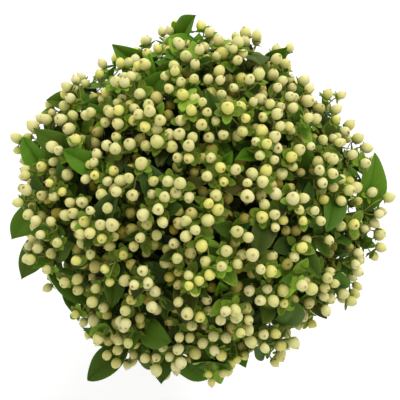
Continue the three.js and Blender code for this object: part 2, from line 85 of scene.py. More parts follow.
def draw(a, b, c=0):
    # from 0 to 1 and always the same for the same numbers; the last of them tells its uses apart
    mask = 0xffffffff
    h = (((a + 1) * 0x9e3779b1) ^ ((b + 1) * 0x85ebca6b) ^ ((c + 1 + bundle["seed"]) * 0xc2b2ae35)) & mask
    h = ((h ^ (h >> 15)) * 0x2c1b3c6d) & mask
    h = ((h ^ (h >> 12)) * 0x297a2d39) & mask
    return (h ^ (h >> 15)) / 4294967296


def spread(a, b, c=0):
    return 2 * draw(a, b, c) - 1


def unit(v):
    v = np.asarray(v, dtype=float)
    return v / np.linalg.norm(v, axis=-1, keepdims=True)


def length(v):
    return float(np.linalg.norm(v))


def between(ends, share):
    return ends[0] + (ends[1] - ends[0]) * share


def within01(value):
    return min(max(value, 0), 1)


def fromAxis(at):
    return math.hypot(at[0], at[1])


def bezier(points, t):
    t = np.asarray(t, dtype=float)[..., None]
    s = 1 - t
    if len(points) == 4:
        a, b, c, d = points
        return a * s ** 3 + 3 * b * s * s * t + 3 * c * s * t * t + d * t ** 3
    a, b, c = points
    return a * s * s + 2 * b * s * t + c * t * t


def onRow(row, t):
    k = min(int(math.floor(t * (len(row) - 1))), len(row) - 2)
    f = t * (len(row) - 1) - k
    return row[k] + (row[k + 1] - row[k]) * f


def fullness(phi):
    lobe = phi + math.radians(head["lobeTurn"])
    return 1 + head["lobeTwo"] * math.cos(2 * lobe) + head["lobeFour"] * math.cos(4 * lobe)


def onHead(theta, phi, lift=0):
    # a place on the dome, and the way out of it
    reach = head["radius"] * (1 + (fullness(phi) - 1) * math.sin(theta) ** 2)
    flat = np.array([math.cos(phi), math.sin(phi), 0.0])
    out = unit(flat * math.sin(theta) / reach + up * math.cos(theta) / head["height"])
    at = flat * reach * math.sin(theta) + up * (head["level"] + head["height"] * math.cos(theta))
    return at + out * lift, out


def aboveHead(x, y, lift):
    phi = math.atan2(y, x)
    share = math.hypot(x, y) / (head["radius"] * fullness(phi) + lift)
    theta = math.asin(min(share, head["edge"]))
    level = head["level"] + (head["height"] + lift) * math.cos(theta)
    return np.array([x, y, level]), onHead(theta, phi)[1]


def evenAngles(count):
    # angles from the top at which places lie evenly over the dome
    slices = head["slices"]
    step = math.radians(head["lowest"]) / slices
    area = [0.0]
    for k in range(slices):
        theta = step * (k + 0.5)
        slant = math.hypot(head["radius"] * math.cos(theta), head["height"] * math.sin(theta))
        area.append(area[k] + math.sin(theta) * slant)
    angles = []
    for j in range(count):
        wanted = area[slices] * (j + 0.5) / count
        k = next(i for i, a in enumerate(area) if a >= wanted) - 1
        angles.append(step * (k + (wanted - area[k]) / (area[k + 1] - area[k])))
    return angles


def planClusters():
    angles = evenAngles(sum(bundle["rings"]) * head["perStem"])
    places = [(j, theta, (j * goldenAngle) % fullTurn) for j, theta in enumerate(angles)]
    shares = []
    start = 0
    for count in bundle["rings"]:
        ring = sorted(places[start:start + count * head["perStem"]], key=lambda place: place[2])
        start += count * head["perStem"]
        shares += [ring[m * head["perStem"]:(m + 1) * head["perStem"]] for m in range(count)]
    clusters = []
    for stem, share in enumerate(shares):
        own = []
        for j, theta, phi in share:
            drift = head["wobble"] * spread(j, 2) / math.sin(theta + head["ease"])
            at, out = onHead(theta + head["wobble"] * spread(j, 1), phi + drift, head["lift"] * spread(j, 3))
            own.append({"id": j, "stem": stem, "hub": at, "out": unit(out + up * head["clusterUp"]),
                        "young": draw(j, 4) < head["young"]})
        clusters.append(own)
    return clusters


def planStalk(ring, slot, clusters):
    count = bundle["rings"][ring]
    phi = 0 if count == 1 else (slot + 0.5) / count * fullTurn - math.radians(bundle["twist"])
    waist = np.array([math.cos(phi), math.sin(phi), 0.0]) * ring * bundle["ringStep"]
    lean = np.array([-waist[1] / bundle["splay"], waist[0] / bundle["splay"], 1.0])
    waist[2] = bundle["waist"]
    foot = waist - lean * bundle["waist"]
    middle = sum(c["hub"] for c in clusters) / len(clusters)
    tip = min(clusters, key=lambda c: length(c["hub"] - middle))
    rise = length(tip["hub"] - waist)
    lean = unit(lean)
    arrival = unit(tip["out"] + up * head["tipUp"])
    path = [waist, waist + lean * bundle["leave"] * rise,
            tip["hub"] - arrival * bundle["arrive"] * rise, tip["hub"]]
    row = bezier(path, np.linspace(0, 1, bundle["stalkRings"] + 1))
    tip["arrival"] = unit(tip["hub"] - row[-2])
    phi = math.atan2(tip["hub"][1], tip["hub"][0])
    return {"foot": foot, "lean": lean, "path": path, "row": row, "tip": tip, "rise": rise, "phi": phi}


def planTwigs(stalk, clusters):
    twigs = []
    for c in clusters:
        if c is stalk["tip"]:
            continue
        below = bundle["twigLeast"] + bundle["twigShare"] * length(c["hub"] - stalk["tip"]["hub"])
        t = 1 - below / (bundle["slack"] * stalk["rise"])
        node = onRow(stalk["row"], t)
        over = c["hub"] - c["out"] * bundle["twigBend"] * length(c["hub"] - node)
        row = bezier([node, over, c["hub"]], np.linspace(0, 1, 3))
        c["arrival"] = unit(c["hub"] - row[1])
        twigs.append({"row": row, "path": [bezier(stalk["path"], t), over, c["hub"]]})
    return twigs


def planStems():
    clusters = planClusters()
    stems = []
    for ring, count in enumerate(bundle["rings"]):
        for slot in range(count):
            own = clusters[len(stems)]
            stalk = planStalk(ring, slot, own)
            stems.append({"index": len(stems), "ring": ring, "clusters": own, "stalk": stalk,
                          "twigs": planTwigs(stalk, own), "leaves": []})
    return stems


# Tip of each broad leaf in plan, the way it points in degrees, and the length of its blade.
topLeaves = [
    (-139, 97, 149, 44), (-159, 63, 130, 52), (-67, 134, 35, 38), (-31, 151, 208, 38),
    (7, 162, 40, 44), (-17, 125, 315, 44), (-5, 110, 75, 44), (-28, 118, 100, 42), (-105, 91, 190, 44),
    (-121, 55, 145, 48), (-54, 31, 100, 46), (-66, 14, 95, 40), (11, -16, 320, 50), (39, 15, 335, 42),
    (2, 93, 100, 46), (48, 91, 120, 50), (64, 62, 180, 52), (89, 58, 125, 52), (163, 39, 52, 56),
    (102, 82, 100, 42), (52, 120, 340, 42), (-168, -34, 245, 44), (-160, -70, 258, 56),
    (-114, -43, 330, 48), (-115, -101, 275, 52), (-75, -91, 270, 44), (-23, -122, 320, 50),
    (-103, -112, 200, 44), (-14, -103, 250, 46), (-95, -157, 235, 46), (-59, -162, 300, 46),
    (-44, -165, 250, 54), (-40, -66, 315, 50), (20, -162, 300, 52), (114, -25, 225, 50),
    (132, -33, 255, 44), (104, -57, 5, 42), (130, -51, 60, 44), (45, -45, 290, 42), (57, -102, 285, 42),
    (85, -86, 50, 44), (43, -127, 205, 46), (109, -76, 85, 40), (46, -147, 300, 40), (16, -94, 130, 42),
]

leafRule = {
    "tipLift": 14,          # how far the tips of the top leaves are over the dome, and their roots under it
    "baseDepth": 24,
    "baseReach": 0.85,      # from tip to root in plan, in lengths
    "leafUp": 0.6,          # how much of up is in the way they face
    "topArch": 0.18,        # how high a top and a lower leaf arch, in lengths, and where
    "lowerArch": 0.16,
    "archAt": 0.45,
    "fold": 14,             # these four are the form of the solids' blades, and leafForm says what they do
    "width": 0.255,
    "shift": 0.78,
    "full": 0.8,
    "room": 2.6,            # the least a leaf has round it
    "hold": 7,              # wood this near its root doesn't hinder a leaf
    "pedicelReach": 7,      # how far out and how wide the room is that is kept for a cluster's pedicels
    "pedicelSpace": 3.5,
    "stalkSamples": (12, 70, 2.3),      # first and last sample along the wood, and the room each takes
    "twigSamples": (0, 24, 1.0),
    "leafSpace": 1.2,       # what a leaf that is there already takes
    "long": 1.02,           # length from root to tip against the length wanted, and how far it may be off
    "longVary": 0.2,
    "roots": 12,            # roots tried
    "topTries": [(8, 1.5), (16, 2.5)],  # tips tried for each root, and how much farther off each is
    "lowerTries": (18, 2.5),
    "near": 10,             # room farther round a leaf than this isn't measured
    "clearest": 6,          # more room than this is no better
    "missCost": 0.06,       # what being off the wanted root, and each further tip tried, takes off its room
    "tryCost": 0.1,
    "perStem": [2, 2, 5],   # lower leaves on a stem of each ring
    "numbers": (100, 10),   # number of the first of them, and how many numbers each stem has for its own
    "lowerLength": 52,
    "lengthVary": 7,
    "first": 0.5,           # where along its stalk the first of them grows, and how far on the next
    "step": 0.11,
    "stepVary": 0.04,
    "side": 35,             # degrees to the side of the stalk's way out
    "sideVary": 50,
    "steep": 0.4,
    "steepVary": 0.4,
    "backward": 0.35,       # how far the face leans back from up
}

sampleRows = np.arange(1, 12) / 11
sampleAcross = np.arange(-3, 4) / 3


def roundness(t, form):
    return np.clip(np.sin(math.pi * t ** form["shift"]), 0, 1)


def bladeFrame(ribs, facing, sizes, t, form):
    # rows along several blades at once: place on the rib, way across, way out of the face, half width
    a, b, c = ribs[:, 0, None], ribs[:, 1, None], ribs[:, 2, None]

    def at(u):
        u = u[None, :, None]
        return a * (1 - u) ** 2 + 2 * b * u * (1 - u) + c * u * u

    along = unit(at(np.minimum(t + nearby, 1)) - at(np.maximum(t - nearby, 0)))
    side = unit(np.cross(along, facing[:, None]))
    face = unit(np.cross(side, along))
    outline = roundness(t, form) ** form["full"]
    return at(t), side, face, sizes[:, None] * form["width"] * outline[None]


def bladePoints(ribs, facing, sizes, t, across, form):
    rib, side, face, half = bladeFrame(ribs, facing, sizes, t, form)
    fold = math.radians(form["fold"])
    out = across[None, None, :, None] * half[..., None, None]
    points = rib[:, :, None] + side[:, :, None] * out * math.cos(fold)
    points = points + face[:, :, None] * abs(out) * math.sin(fold)
    return points.reshape(len(ribs), -1, 3)


def distances(a, b):
    squares = (a * a).sum(-1)[..., None] + (b * b).sum(-1) - 2 * a @ b.T
    return np.sqrt(np.maximum(squares, 0))


def apart(points, at):
    return np.linalg.norm(points - at, axis=-1)


def toLine(at, start, end):
    way = end - start
    t = np.clip(((at - start) * way).sum(-1) / (way * way).sum(-1), 0, 1)
    return np.linalg.norm(start + way * t[..., None] - at, axis=-1)


def leastRoom(blades, others, radius, free, margin):
    # the least room between each blade and those of the others that are free to hinder it
    low, high = blades.min((0, 1)) - margin, blades.max((0, 1)) + margin
    near = free & ((others > low) & (others < high)).all(1)
    return (distances(blades, others[near]) - radius[near]).min((1, 2), initial=margin)


def woodSamples(stems):
    # points along all wood with the room each takes, and whether a leaf may grow there
    samples = []

    def stretch(wood, kind, index):
        first, last, space = leafRule[kind]
        for k in range(first, last + 1):
            samples.append((onRow(wood["row"], k / last), bezier(wood["path"], k / last), space, index, True))

    for stem in stems:
        stretch(stem["stalk"], "stalkSamples", stem["index"])
        for twig in stem["twigs"]:
            stretch(twig, "twigSamples", stem["index"])
        for c in stem["clusters"]:
            at = c["hub"] + c["out"] * leafRule["pedicelReach"]
            samples.append((at, at, leafRule["pedicelSpace"], stem["index"], False))
    names = ("at", "root", "radius", "stem", "grows")
    return {name: np.array(values) for name, values in zip(names, zip(*samples))}


def hangLeaf(stems, wood, taken, want, tries, shift):
    # of the blades that start near the wanted base and end near the wanted tip, the one with most room
    rule = leafRule
    size = want["length"]

    def fits(gap):
        return abs(gap / size - rule["long"]) < rule["longVary"]

    gap = apart(wood["at"], want["tip"])
    roots = np.nonzero(wood["grows"] & fits(gap))[0]
    miss = apart(wood["at"][roots], want["base"]) + abs(gap[roots] - size)
    shifts = np.array([[spread(want["id"], k, c) for c in (5, 6, 7)] for k in range(tries)])
    ends = want["tip"] + shifts * (np.arange(tries) * shift)[:, None]
    others = np.concatenate([wood["at"]] + taken)
    radius = np.concatenate([wood["radius"], np.full(len(others) - len(wood["at"]), rule["leafSpace"])])
    best = None
    for i in np.argsort(miss, kind="stable")[:rule["roots"]]:
        w = roots[i]
        root = wood["at"][w]
        sizes = apart(ends, root)
        ks = np.nonzero(fits(sizes))[0]
        if not len(ks):
            continue
        rise = want["facing"] * (want["arch"] * sizes[ks])[:, None]
        over = root + (ends[ks] - root) * rule["archAt"] + rise
        ribs = np.stack([np.repeat(root[None], len(ks), 0), over, ends[ks]], 1)
        facing = np.repeat(want["facing"][None], len(ks), 0)
        points = bladePoints(ribs, facing, sizes[ks], sampleRows, sampleAcross, rule)
        free = np.ones(len(others), dtype=bool)
        free[:len(wood["at"])] = ~(wood["grows"] & (wood["stem"] == wood["stem"][w])
                                   & (apart(wood["at"], root) < rule["hold"]))
        room = leastRoom(points, others, radius, free, rule["near"])
        score = np.minimum(room, rule["clearest"]) - rule["missCost"] * miss[i] - rule["tryCost"] * ks
        for n in range(len(ks)):
            if room[n] > rule["room"] and (best is None or score[n] > best["score"]):
                best = {"score": score[n], "rib": ribs[n], "root": wood["root"][w], "facing": want["facing"],
                        "length": sizes[ks[n]], "stem": int(wood["stem"][w]), "id": want["id"],
                        "points": points[n], "broad": want["broad"]}
    if best is None:
        return False
    stems[best["stem"]]["leaves"].append(best)
    taken.append(best["points"])
    return True


def planLeaves(stems, wood):
    taken = []
    rule = leafRule
    for number, (x, y, heading, size) in enumerate(topLeaves):
        way = np.array([math.cos(math.radians(heading)), math.sin(math.radians(heading))])
        tip, out = aboveHead(x, y, rule["tipLift"])
        reach = rule["baseReach"] * size
        base = aboveHead(x - reach * way[0], y - reach * way[1], -rule["baseDepth"])[0]
        want = {"base": base, "tip": tip, "facing": unit(out + up * rule["leafUp"]), "arch": rule["topArch"],
                "length": size, "id": number, "broad": True}
        for tries, shift in rule["topTries"]:
            if hangLeaf(stems, wood, taken, want, tries, shift):
                break
    for stem in stems:
        for k in range(rule["perStem"][stem["ring"]]):
            number = rule["numbers"][0] + rule["numbers"][1] * stem["index"] + k
            along = rule["first"] + rule["step"] * k + rule["stepVary"] * spread(number, 1)
            base = onRow(stem["stalk"]["row"], along)
            turn = math.radians(rule["side"] + rule["sideVary"] * draw(number, 2))
            turn = stem["stalk"]["phi"] + (turn if k % 2 else -turn)
            size = rule["lowerLength"] + rule["lengthVary"] * spread(number, 3)
            rise = rule["steep"] + rule["steepVary"] * spread(number, 4)
            way = unit([math.cos(turn), math.sin(turn), rise])
            want = {"base": base, "tip": base + way * size, "facing": unit(up - way * rule["backward"]),
                    "arch": rule["lowerArch"], "length": size, "id": number, "broad": False}
            hangLeaf(stems, wood, taken, want, *rule["lowerTries"])
    return np.concatenate(taken)


berryRule = {
    "perCluster": 6,
    "least": 4.6,           # radii of usual berries, of a few large ones and of the smallest young one
    "most": 5.9,
    "large": 6.6,
    "youngest": 4.1,
    "largeShare": 0.06,
    "long": 1.12,           # length against width
    "reach": 15.5,          # from the hub of the cluster
    "reachVary": 2.5,
    "middle": 1.5,          # how much farther the middle one reaches, and how little it tilts
    "middleLean": 0.15,
    "tilt": 50,             # degrees from the way out
    "tiltVary": 12,
    "turnVary": 0.28,
    "aimOwn": 0.55,         # a berry faces along its own pedicel and out of its cluster, by these shares
    "aimCluster": 0.75,
    "passes": 40,
    "fromBerry": (40, 1.2, 0.4),    # how near others matter, the air wanted, and the share mended in a pass
    "fromBlade": (35, 3.2, 0.3),
    "fromHub": (35, 4, 0.4),
    "pull": 0.3,            # share by which a pass brings a berry back to its reach
    "stray": 5,             # a berry is left out if it ends this far off its reach
    "lowest": 0.5,          # or no farther out than this
    "bladeAir": 1.7,
    "pedicelAir": 1,
    "pedicelOffLeaf": 3.1,
    "air": 0.35,
}


def asideOf(out):
    # two directions square to the way out of a cluster, also where that is straight up
    side = unit(np.cross(out, [-out[1], out[0], 0.3]))
    return side, np.cross(out, side)


def allClusters(stems):
    return [c for stem in stems for c in stem["clusters"]]


def aimed(at, c):
    return unit(unit(at - c["hub"]) * berryRule["aimOwn"] + c["out"] * berryRule["aimCluster"])


def fanOut(c):
    rule = berryRule
    turn = fullTurn * draw(c["id"], 5)
    out = c["out"]
    side, other = asideOf(out)
    berries = []
    for b in range(rule["perCluster"]):
        lean = 1 if b else rule["middleLean"] * draw(c["id"], 11)
        tilt = math.radians(lean * (rule["tilt"] + rule["tiltVary"] * spread(c["id"], b, 6)))
        around = turn + fullTurn * b / (rule["perCluster"] - 1) + rule["turnVary"] * spread(c["id"], b, 7)
        way = out * math.cos(tilt) + side * math.sin(tilt) * math.cos(around)
        way = way + other * math.sin(tilt) * math.sin(around)
        size = draw(c["id"], b, 8)
        usual = between((rule["least"], rule["most"]), size)
        radius = rule["large"] if size > 1 - rule["largeShare"] else usual
        if c["young"]:
            radius = radius * rule["youngest"] / rule["least"]
        reach = rule["reach"] + rule["reachVary"] * spread(c["id"], b, 9) + (0 if b else rule["middle"])
        berries.append({"cluster": c, "order": b, "radius": radius, "reach": reach,
                        "at": c["hub"] + way * reach})
    return berries


def planBerries(stems, blades):
    # the even layout: fans of berries that part from each other and from leaves
    rule = berryRule
    clusters = allClusters(stems)
    berries = [berry for c in clusters for berry in fanOut(c)]
    at = np.array([berry["at"] for berry in berries])
    radius = np.array([berry["radius"] for berry in berries])
    reach = np.array([berry["reach"] for berry in berries])
    hubs = np.array([c["hub"] for c in clusters])
    own = np.repeat(np.arange(len(clusters)), rule["perCluster"])
    start = hubs[own]
    notSelf = ~np.eye(len(at), dtype=bool)
    notOwn = own[:, None] != np.arange(len(clusters))[None]
    withBerries = np.nonzero(notSelf & (distances(at, at) < rule["fromBerry"][0]))
    withBlades = np.nonzero(distances(at, blades) < rule["fromBlade"][0])
    withHubs = np.nonzero(notOwn & (distances(at, hubs) < rule["fromHub"][0]))
    needs = [(withBerries, radius[withBerries[0]] + radius[withBerries[1]], "fromBerry"),
             (withBlades, radius[withBlades[0]], "fromBlade"), (withHubs, radius[withHubs[0]], "fromHub")]
    for _ in range(rule["passes"]):
        moves = np.zeros_like(at)
        for others, ((k, m), need, kind) in zip((at, blades, hubs), needs):
            air, share = rule[kind][1:]
            away = at[k] - others[m]
            gap = np.linalg.norm(away, axis=1)
            short = np.maximum(need + air - gap, 0)
            for c in range(3):
                moves[:, c] += np.bincount(k, away[:, c] * share * short / gap, len(moves))
        away = at - start
        gap = np.linalg.norm(away, axis=1)
        at = at + moves + away * (rule["pull"] * (reach - gap) / gap)[:, None]
    kept = []
    for k, berry in enumerate(berries):
        hub, out = berry["cluster"]["hub"], berry["cluster"]["out"]
        strayed = abs(length(at[k] - hub) - reach[k]) > rule["stray"] or (at[k] - hub) @ out < rule["lowest"]
        onBlade = apart(blades, at[k]).min() < radius[k] + rule["bladeAir"]
        pedicels = toLine(at[k], start, at) < radius[k] + rule["pedicelAir"]
        onBerry = apart(at[:k], at[k]) < radius[:k] + radius[k] + rule["air"]
        if strayed or onBlade or ((own != own[k]) & pedicels).any() or onBerry.any():
            continue
        if toLine(blades, hub, at[k]).min() > rule["pedicelOffLeaf"]:
            c = berry["cluster"]
            kept.append({**berry, "at": at[k], "axis": aimed(at[k], c), "stem": c["stem"]})
    return kept


growth = {
    # where on the head, and how wide: fresh young growth with bright leaves, and hollows with few berries
    "fresh": [(38, 42, 11), (83, -66, 17), (-9, 158, 26), (-42, 142, 22), (-72, 120, 20), (22, -58, 16),
              (-11, 98, 13), (-112, 55, 12), (146, 18, 20), (12, -146, 14), (-92, -112, 14), (95, 64, 11)],
    "hollow": [(32, 14, 12), (8, -97, 15), (-22, -95, 14), (128, -12, 17), (-28, 33, 10), (60, -36, 11),
               (68, -90, 13), (48, -128, 13), (-32, -142, 13), (-50, -82, 11), (-115, -88, 12), (97, 6, 11)],
    "leaf": (0.6, 1.2),     # brightness of the leaves in fresh growth
    "young": 0.5,           # share of small yellow berries there
    "thin": (0.4, 0.8),     # share of the berries missing in fresh growth and in a hollow
}


def nearness(kind, at):
    return max(math.exp(-(math.hypot(at[0] - x, at[1] - y) / wide) ** 2) for x, y, wide in growth[kind])


def isThin(at, share):
    fresh, hollow = growth["thin"]
    return share < max(fresh * nearness("fresh", at), hollow * nearness("hollow", at))


crowding = {
    "size": (0.95, 0.85),   # berries against the room that the layout gives them, on top and at the rim
    "sizeFrom": (70, 150),  # how far from the axis these two are
    "largest": 6.2,         # radius
    "young": 0.08,          # share of small yellow berries, in most clusters and in the young ones
    "youngIn": 0.5,
    "nod": 0.42,            # how far a berry may face away from its even way
    "step": 1.4,            # how far the pedicels of a cluster start from each other
    "fixed": 2,             # berries of a cluster that stay where the solids have theirs
    "stay": 0.46,           # share of the others that stay; the rest hang lower, where there is room
    "depth": (12, 24),      # how much lower
    "depthTries": 4,
    "shoot": 13,            # their side shoot leaves the twig this far below the hub
    "air": 0.4,             # round a berry, then from it to a leaf and to wood
    "leafAir": 1.2,
    "woodAir": 0.3,
    "near": (45, 40),       # berries and leaves farther off than this can't touch a pedicel
    "pedicelAir": 0.5,      # from a pedicel to a berry that is there, to the new berry and to a leaf
    "pedicelSpace": 0.6,
    "pedicelOffLeaf": 1.5,
    "along": [0.15, 0.35, 0.55, 0.75, 0.92],    # where berries may hang over a broad leaf
    "across": [-1.0, -0.5, 0.0, 0.5, 1.0],
    "over": (1.6, 6),       # air between such a berry and the leaf
    "hubs": 3,              # nearest hubs that may bear it
    "reach": (11, 31),      # its least and most way from the hub that bears it
    "perLeaf": 5,
    "perRimLeaf": 3,        # rim leaves have them over their inner part alone
    "rimAlong": 0.4,
    "within": 112,          # leaves whose tip is farther from the axis are rim leaves
    "tries": 16,            # places tried round each cluster for berries deep in the gaps
    "perGap": 2,
    "gapSide": (4, 20),     # how far beside and below the hub these are
    "gapDepth": (-4, 30),
    "gapOpen": 0.72,        # how clear the way out has to be
    "gapUp": 0.6,           # how much of up is in it
    "gapRoot": (3, 5),      # least way from the hub down to their root, and how far it is below them
    "firstNew": 100,        # number of the first berry that the even layout doesn't have
}


def grownSize(radius, place):
    # berries stay smaller than the room they have, and more so at the rim
    near, far = crowding["sizeFrom"]
    share = within01((fromAxis(place) - near) / (far - near))
    return min(radius, crowding["largest"]) * between(crowding["size"], share)


def markFixed(berries):
    # the first of each cluster stay where the solids have theirs
    seen = {}
    for berry in berries:
        number = berry["cluster"]["id"]
        seen[number] = seen.get(number, 0) + 1
        berry["fixed"] = seen[number] <= crowding["fixed"]


leafTurn = {
    "from": 95,             # leaves whose tips are farther from the axis turn their faces up
    "steps": [1.4, 1.1, 0.8, 0.55, 0.3],    # how much of up is tried
    "room": 0.8,
    "border": 0.6,          # what other leaves take
    "near": 8,              # room farther round a leaf than this isn't measured
}


def turnUp(stems, wood, berries):
    # broad leaves at the rim turn to the light as far as the wood, berries and leaves round them let them
    leaves = [leaf for stem in stems for leaf in stem["leaves"]]
    fixed = [berry for berry in berries if berry["fixed"]]
    for leaf in leaves:
        if not leaf["broad"] or fromAxis(leaf["rib"][2]) < leafTurn["from"]:
            continue
        free = apart(wood["at"], leaf["rib"][0]) > leafRule["hold"]
        around = np.concatenate([other["points"] for other in leaves if other is not leaf])
        others = np.concatenate([wood["at"][free], [berry["at"] for berry in fixed], around])
        border = np.full(len(around), leafTurn["border"])
        radius = np.concatenate([wood["radius"][free], [berry["radius"] for berry in fixed], border])
        sizes = np.array([leaf["length"]])
        for share in leafTurn["steps"]:
            facing = unit(leaf["facing"] + up * share)
            points = bladePoints(leaf["rib"][None], facing[None], sizes, sampleRows, sampleAcross, leafRule)
            if leastRoom(points, others, radius, True, leafTurn["near"])[0] > leafTurn["room"]:
                leaf["facing"], leaf["points"] = facing, points[0]
                break
    return np.concatenate([leaf["points"] for leaf in leaves])


def newCrowd(blades, wood):
    grows = wood["grows"]
    woodRadius = wood["radius"][grows] + crowding["woodAir"]
    return {"at": np.zeros((0, 3)), "root": np.zeros((0, 3)), "radius": np.zeros(0), "berries": [],
            "blades": blades, "wood": wood["at"][grows], "woodRadius": woodRadius}


def addToCrowd(crowd, berry):
    c = berry["cluster"]
    usual = crowding["youngIn" if c["young"] else "young"]
    share = max(usual, growth["young"] * nearness("fresh", berry["at"]))
    berry["young"] = draw(c["id"], berry["order"], 26) < share
    crowd["at"] = np.concatenate([crowd["at"], berry["at"][None]])
    crowd["root"] = np.concatenate([crowd["root"], berry["root"][None]])
    crowd["radius"] = np.append(crowd["radius"], berry["radius"])
    crowd["berries"].append(berry)


def addNew(crowd, c, place, radius, axis, root):
    # a berry that the even layout doesn't have
    order = crowding["firstNew"] + len(crowd["berries"])
    addToCrowd(crowd, {"cluster": c, "order": order, "stem": c["stem"], "at": place, "radius": radius,
                       "axis": axis, "root": root})


def hasRoom(crowd, place, size, start):
    # room for the berry itself and for its pedicel
    rule = crowding
    if (apart(crowd["at"], place) < crowd["radius"] + size + rule["air"]).any():
        return False
    if apart(crowd["blades"], place).min() < size + rule["leafAir"]:
        return False
    if (apart(crowd["wood"], place) < crowd["woodRadius"] + size).any():
        return False
    near = (abs(crowd["at"] - place) < rule["near"][0]).all(1)
    if (toLine(crowd["at"][near], start, place) < crowd["radius"][near] + rule["pedicelAir"]).any():
        return False
    if (toLine(place, crowd["root"][near], crowd["at"][near]) < size + rule["pedicelSpace"]).any():
        return False
    leaves = (abs(crowd["blades"] - place) < rule["near"][1]).all(1)
    return toLine(crowd["blades"][leaves], start, place).min(initial=np.inf) > rule["pedicelOffLeaf"]


def isOpen(crowd, place, size, out):
    for at, wide in ((crowd["at"], crowd["radius"] + size), (crowd["blades"], size)):
        way = at - place
        high = way @ out
        beside = np.linalg.norm(way - high[:, None] * out, axis=1)
        if ((high > 0) & (beside < crowding["gapOpen"] * wide)).any():
            return False
    return True


def ripen(crowd, berries):
    # the berries of the even layout: most stay, and others hang below them
    low = []
    for k, berry in enumerate(berries):
        c, b = berry["cluster"], berry["order"]
        berry["root"] = c["hub"] - c["arrival"] * crowding["step"] * b
        berry["radius"] = grownSize(berry["radius"], berry["at"])
        nod = np.array([spread(c["id"], b, k) for k in (12, 13, 14)])
        berry["axis"] = unit(berry["axis"] + nod * crowding["nod"])
        if not berry["fixed"] and isThin(berry["at"], draw(c["id"], b, 27)):
            continue
        clear = apart(crowd["blades"], berry["at"]).min() > berry["radius"] + crowding["leafAir"]
        if berry["fixed"] or clear and draw(c["id"], b, 15) < crowding["stay"]:
            addToCrowd(crowd, berry)
        else:
            low.append(berry)
    for berry in low:
        c, b = berry["cluster"], berry["order"]
        root = c["hub"] - c["arrival"] * crowding["shoot"]
        for attempt in range(crowding["depthTries"]):
            place = berry["at"] - c["out"] * between(crowding["depth"], draw(c["id"], b, 16 + attempt))
            if hasRoom(crowd, place, berry["radius"], root):
                axis = unit(unit(place - root) + c["out"])
                addToCrowd(crowd, {**berry, "at": place, "root": root, "axis": axis})
                break


def drawnSize(share, place):
    return grownSize(between((berryRule["youngest"], berryRule["large"]), share), place)


def hangOver(crowd, stems):
    # longer pedicels hold a few berries out over the broad leaves
    rule = crowding
    clusters = allClusters(stems)
    hubs = np.array([c["hub"] for c in clusters])
    along, across = np.array(rule["along"]), np.array(rule["across"])
    for leaf in [leaf for stem in stems for leaf in stem["leaves"] if leaf["broad"]]:
        rim = fromAxis(leaf["rib"][2]) > rule["within"]
        most = rule["perRimLeaf" if rim else "perLeaf"]
        ribs, facing, size = leaf["rib"][None], leaf["facing"][None], np.array([leaf["length"]])
        rows = along[along < rule["rimAlong"]] if rim else along
        spots = bladePoints(ribs, facing, size, rows, across, leafRule)[0]
        borne = 0
        for k in sorted(range(len(spots)), key=lambda k: draw(leaf["id"], k, 70)):
            if isThin(spots[k], draw(leaf["id"], k, 77)):
                continue
            grown = drawnSize(draw(leaf["id"], k, 71), spots[k])
            place = spots[k] + leaf["facing"] * (grown + between(rule["over"], draw(leaf["id"], k, 76) ** 2))
            ways = apart(hubs, place)
            for near in np.argsort(ways, kind="stable")[:rule["hubs"]]:
                c = clusters[near]
                start = c["hub"] - c["arrival"]
                inReach = rule["reach"][0] < ways[near] < rule["reach"][1]
                if borne < most and inReach and hasRoom(crowd, place, grown, start):
                    addNew(crowd, c, place, grown, aimed(place, c), start)
                    borne += 1
                    break


def fillGaps(crowd, stems):
    # and some sit deep between the clusters, where they can still be seen
    rule = crowding
    for c in allClusters(stems):
        side, other = asideOf(c["out"])
        borne = 0
        if isThin(c["hub"], draw(c["id"], 78)):
            continue
        for k in range(rule["tries"]):
            turn = fullTurn * draw(c["id"], k, 72)
            depth = between(rule["gapDepth"], draw(c["id"], k, 73))
            aside = between(rule["gapSide"], draw(c["id"], k, 74))
            grown = drawnSize(draw(c["id"], k, 75), c["hub"])
            place = c["hub"] + (side * math.cos(turn) + other * math.sin(turn)) * aside - c["out"] * depth
            root = c["hub"] - c["arrival"] * max(rule["gapRoot"][0], depth + rule["gapRoot"][1])
            if borne == rule["perGap"] or not hasRoom(crowd, place, grown, root):
                continue
            if isOpen(crowd, place, grown, unit(c["out"] + up * rule["gapUp"])):
                addNew(crowd, c, place, grown, unit(unit(place - root) + c["out"]), root)
                borne += 1


stems = planStems()
wood = woodSamples(stems)
blades = planLeaves(stems, wood)
evenBerries = planBerries(stems, blades)
markFixed(evenBerries)
blades = turnUp(stems, wood, evenBerries)
crowd = newCrowd(blades, wood)
ripen(crowd, evenBerries)
hangOver(crowd, stems)
fillGaps(crowd, stems)
berries = crowd["berries"]
print("laid out:", len(berries), "berries and", sum(len(s["leaves"]) for s in stems), "leaves")


def bladeShape(rows, columns):
    # a thin lens: both faces share their border, and each end is one point
    t = 0.5 - 0.5 * np.cos(np.linspace(0, math.pi, rows))
    across = np.linspace(-1, 1, columns)
    places = []
    index = {}
    for under in (0, 1):
        for i in range(rows):
            for j in range(columns):
                pole = i in (0, rows - 1)
                rim = pole or j in (0, columns - 1)
                key = (i, 0, 0) if pole else (i, j, 0) if rim else (i, j, under)
                if key not in index:
                    index[key] = len(places)
                    places.append((t[i], 0.0 if pole else across[j], 0.5 if rim else under))
                index[(i, j, under)] = index[key]
    faces = []
    for under in (0, 1):
        for i in range(rows - 1):
            for j in range(columns - 1):
                ring = [(i, j), (i, j + 1), (i + 1, j + 1), (i + 1, j)]
                corners = list(dict.fromkeys(index[(*corner, under)] for corner in ring))
                faces.append(corners[::-1] if under else corners)
    return np.array(places), faces


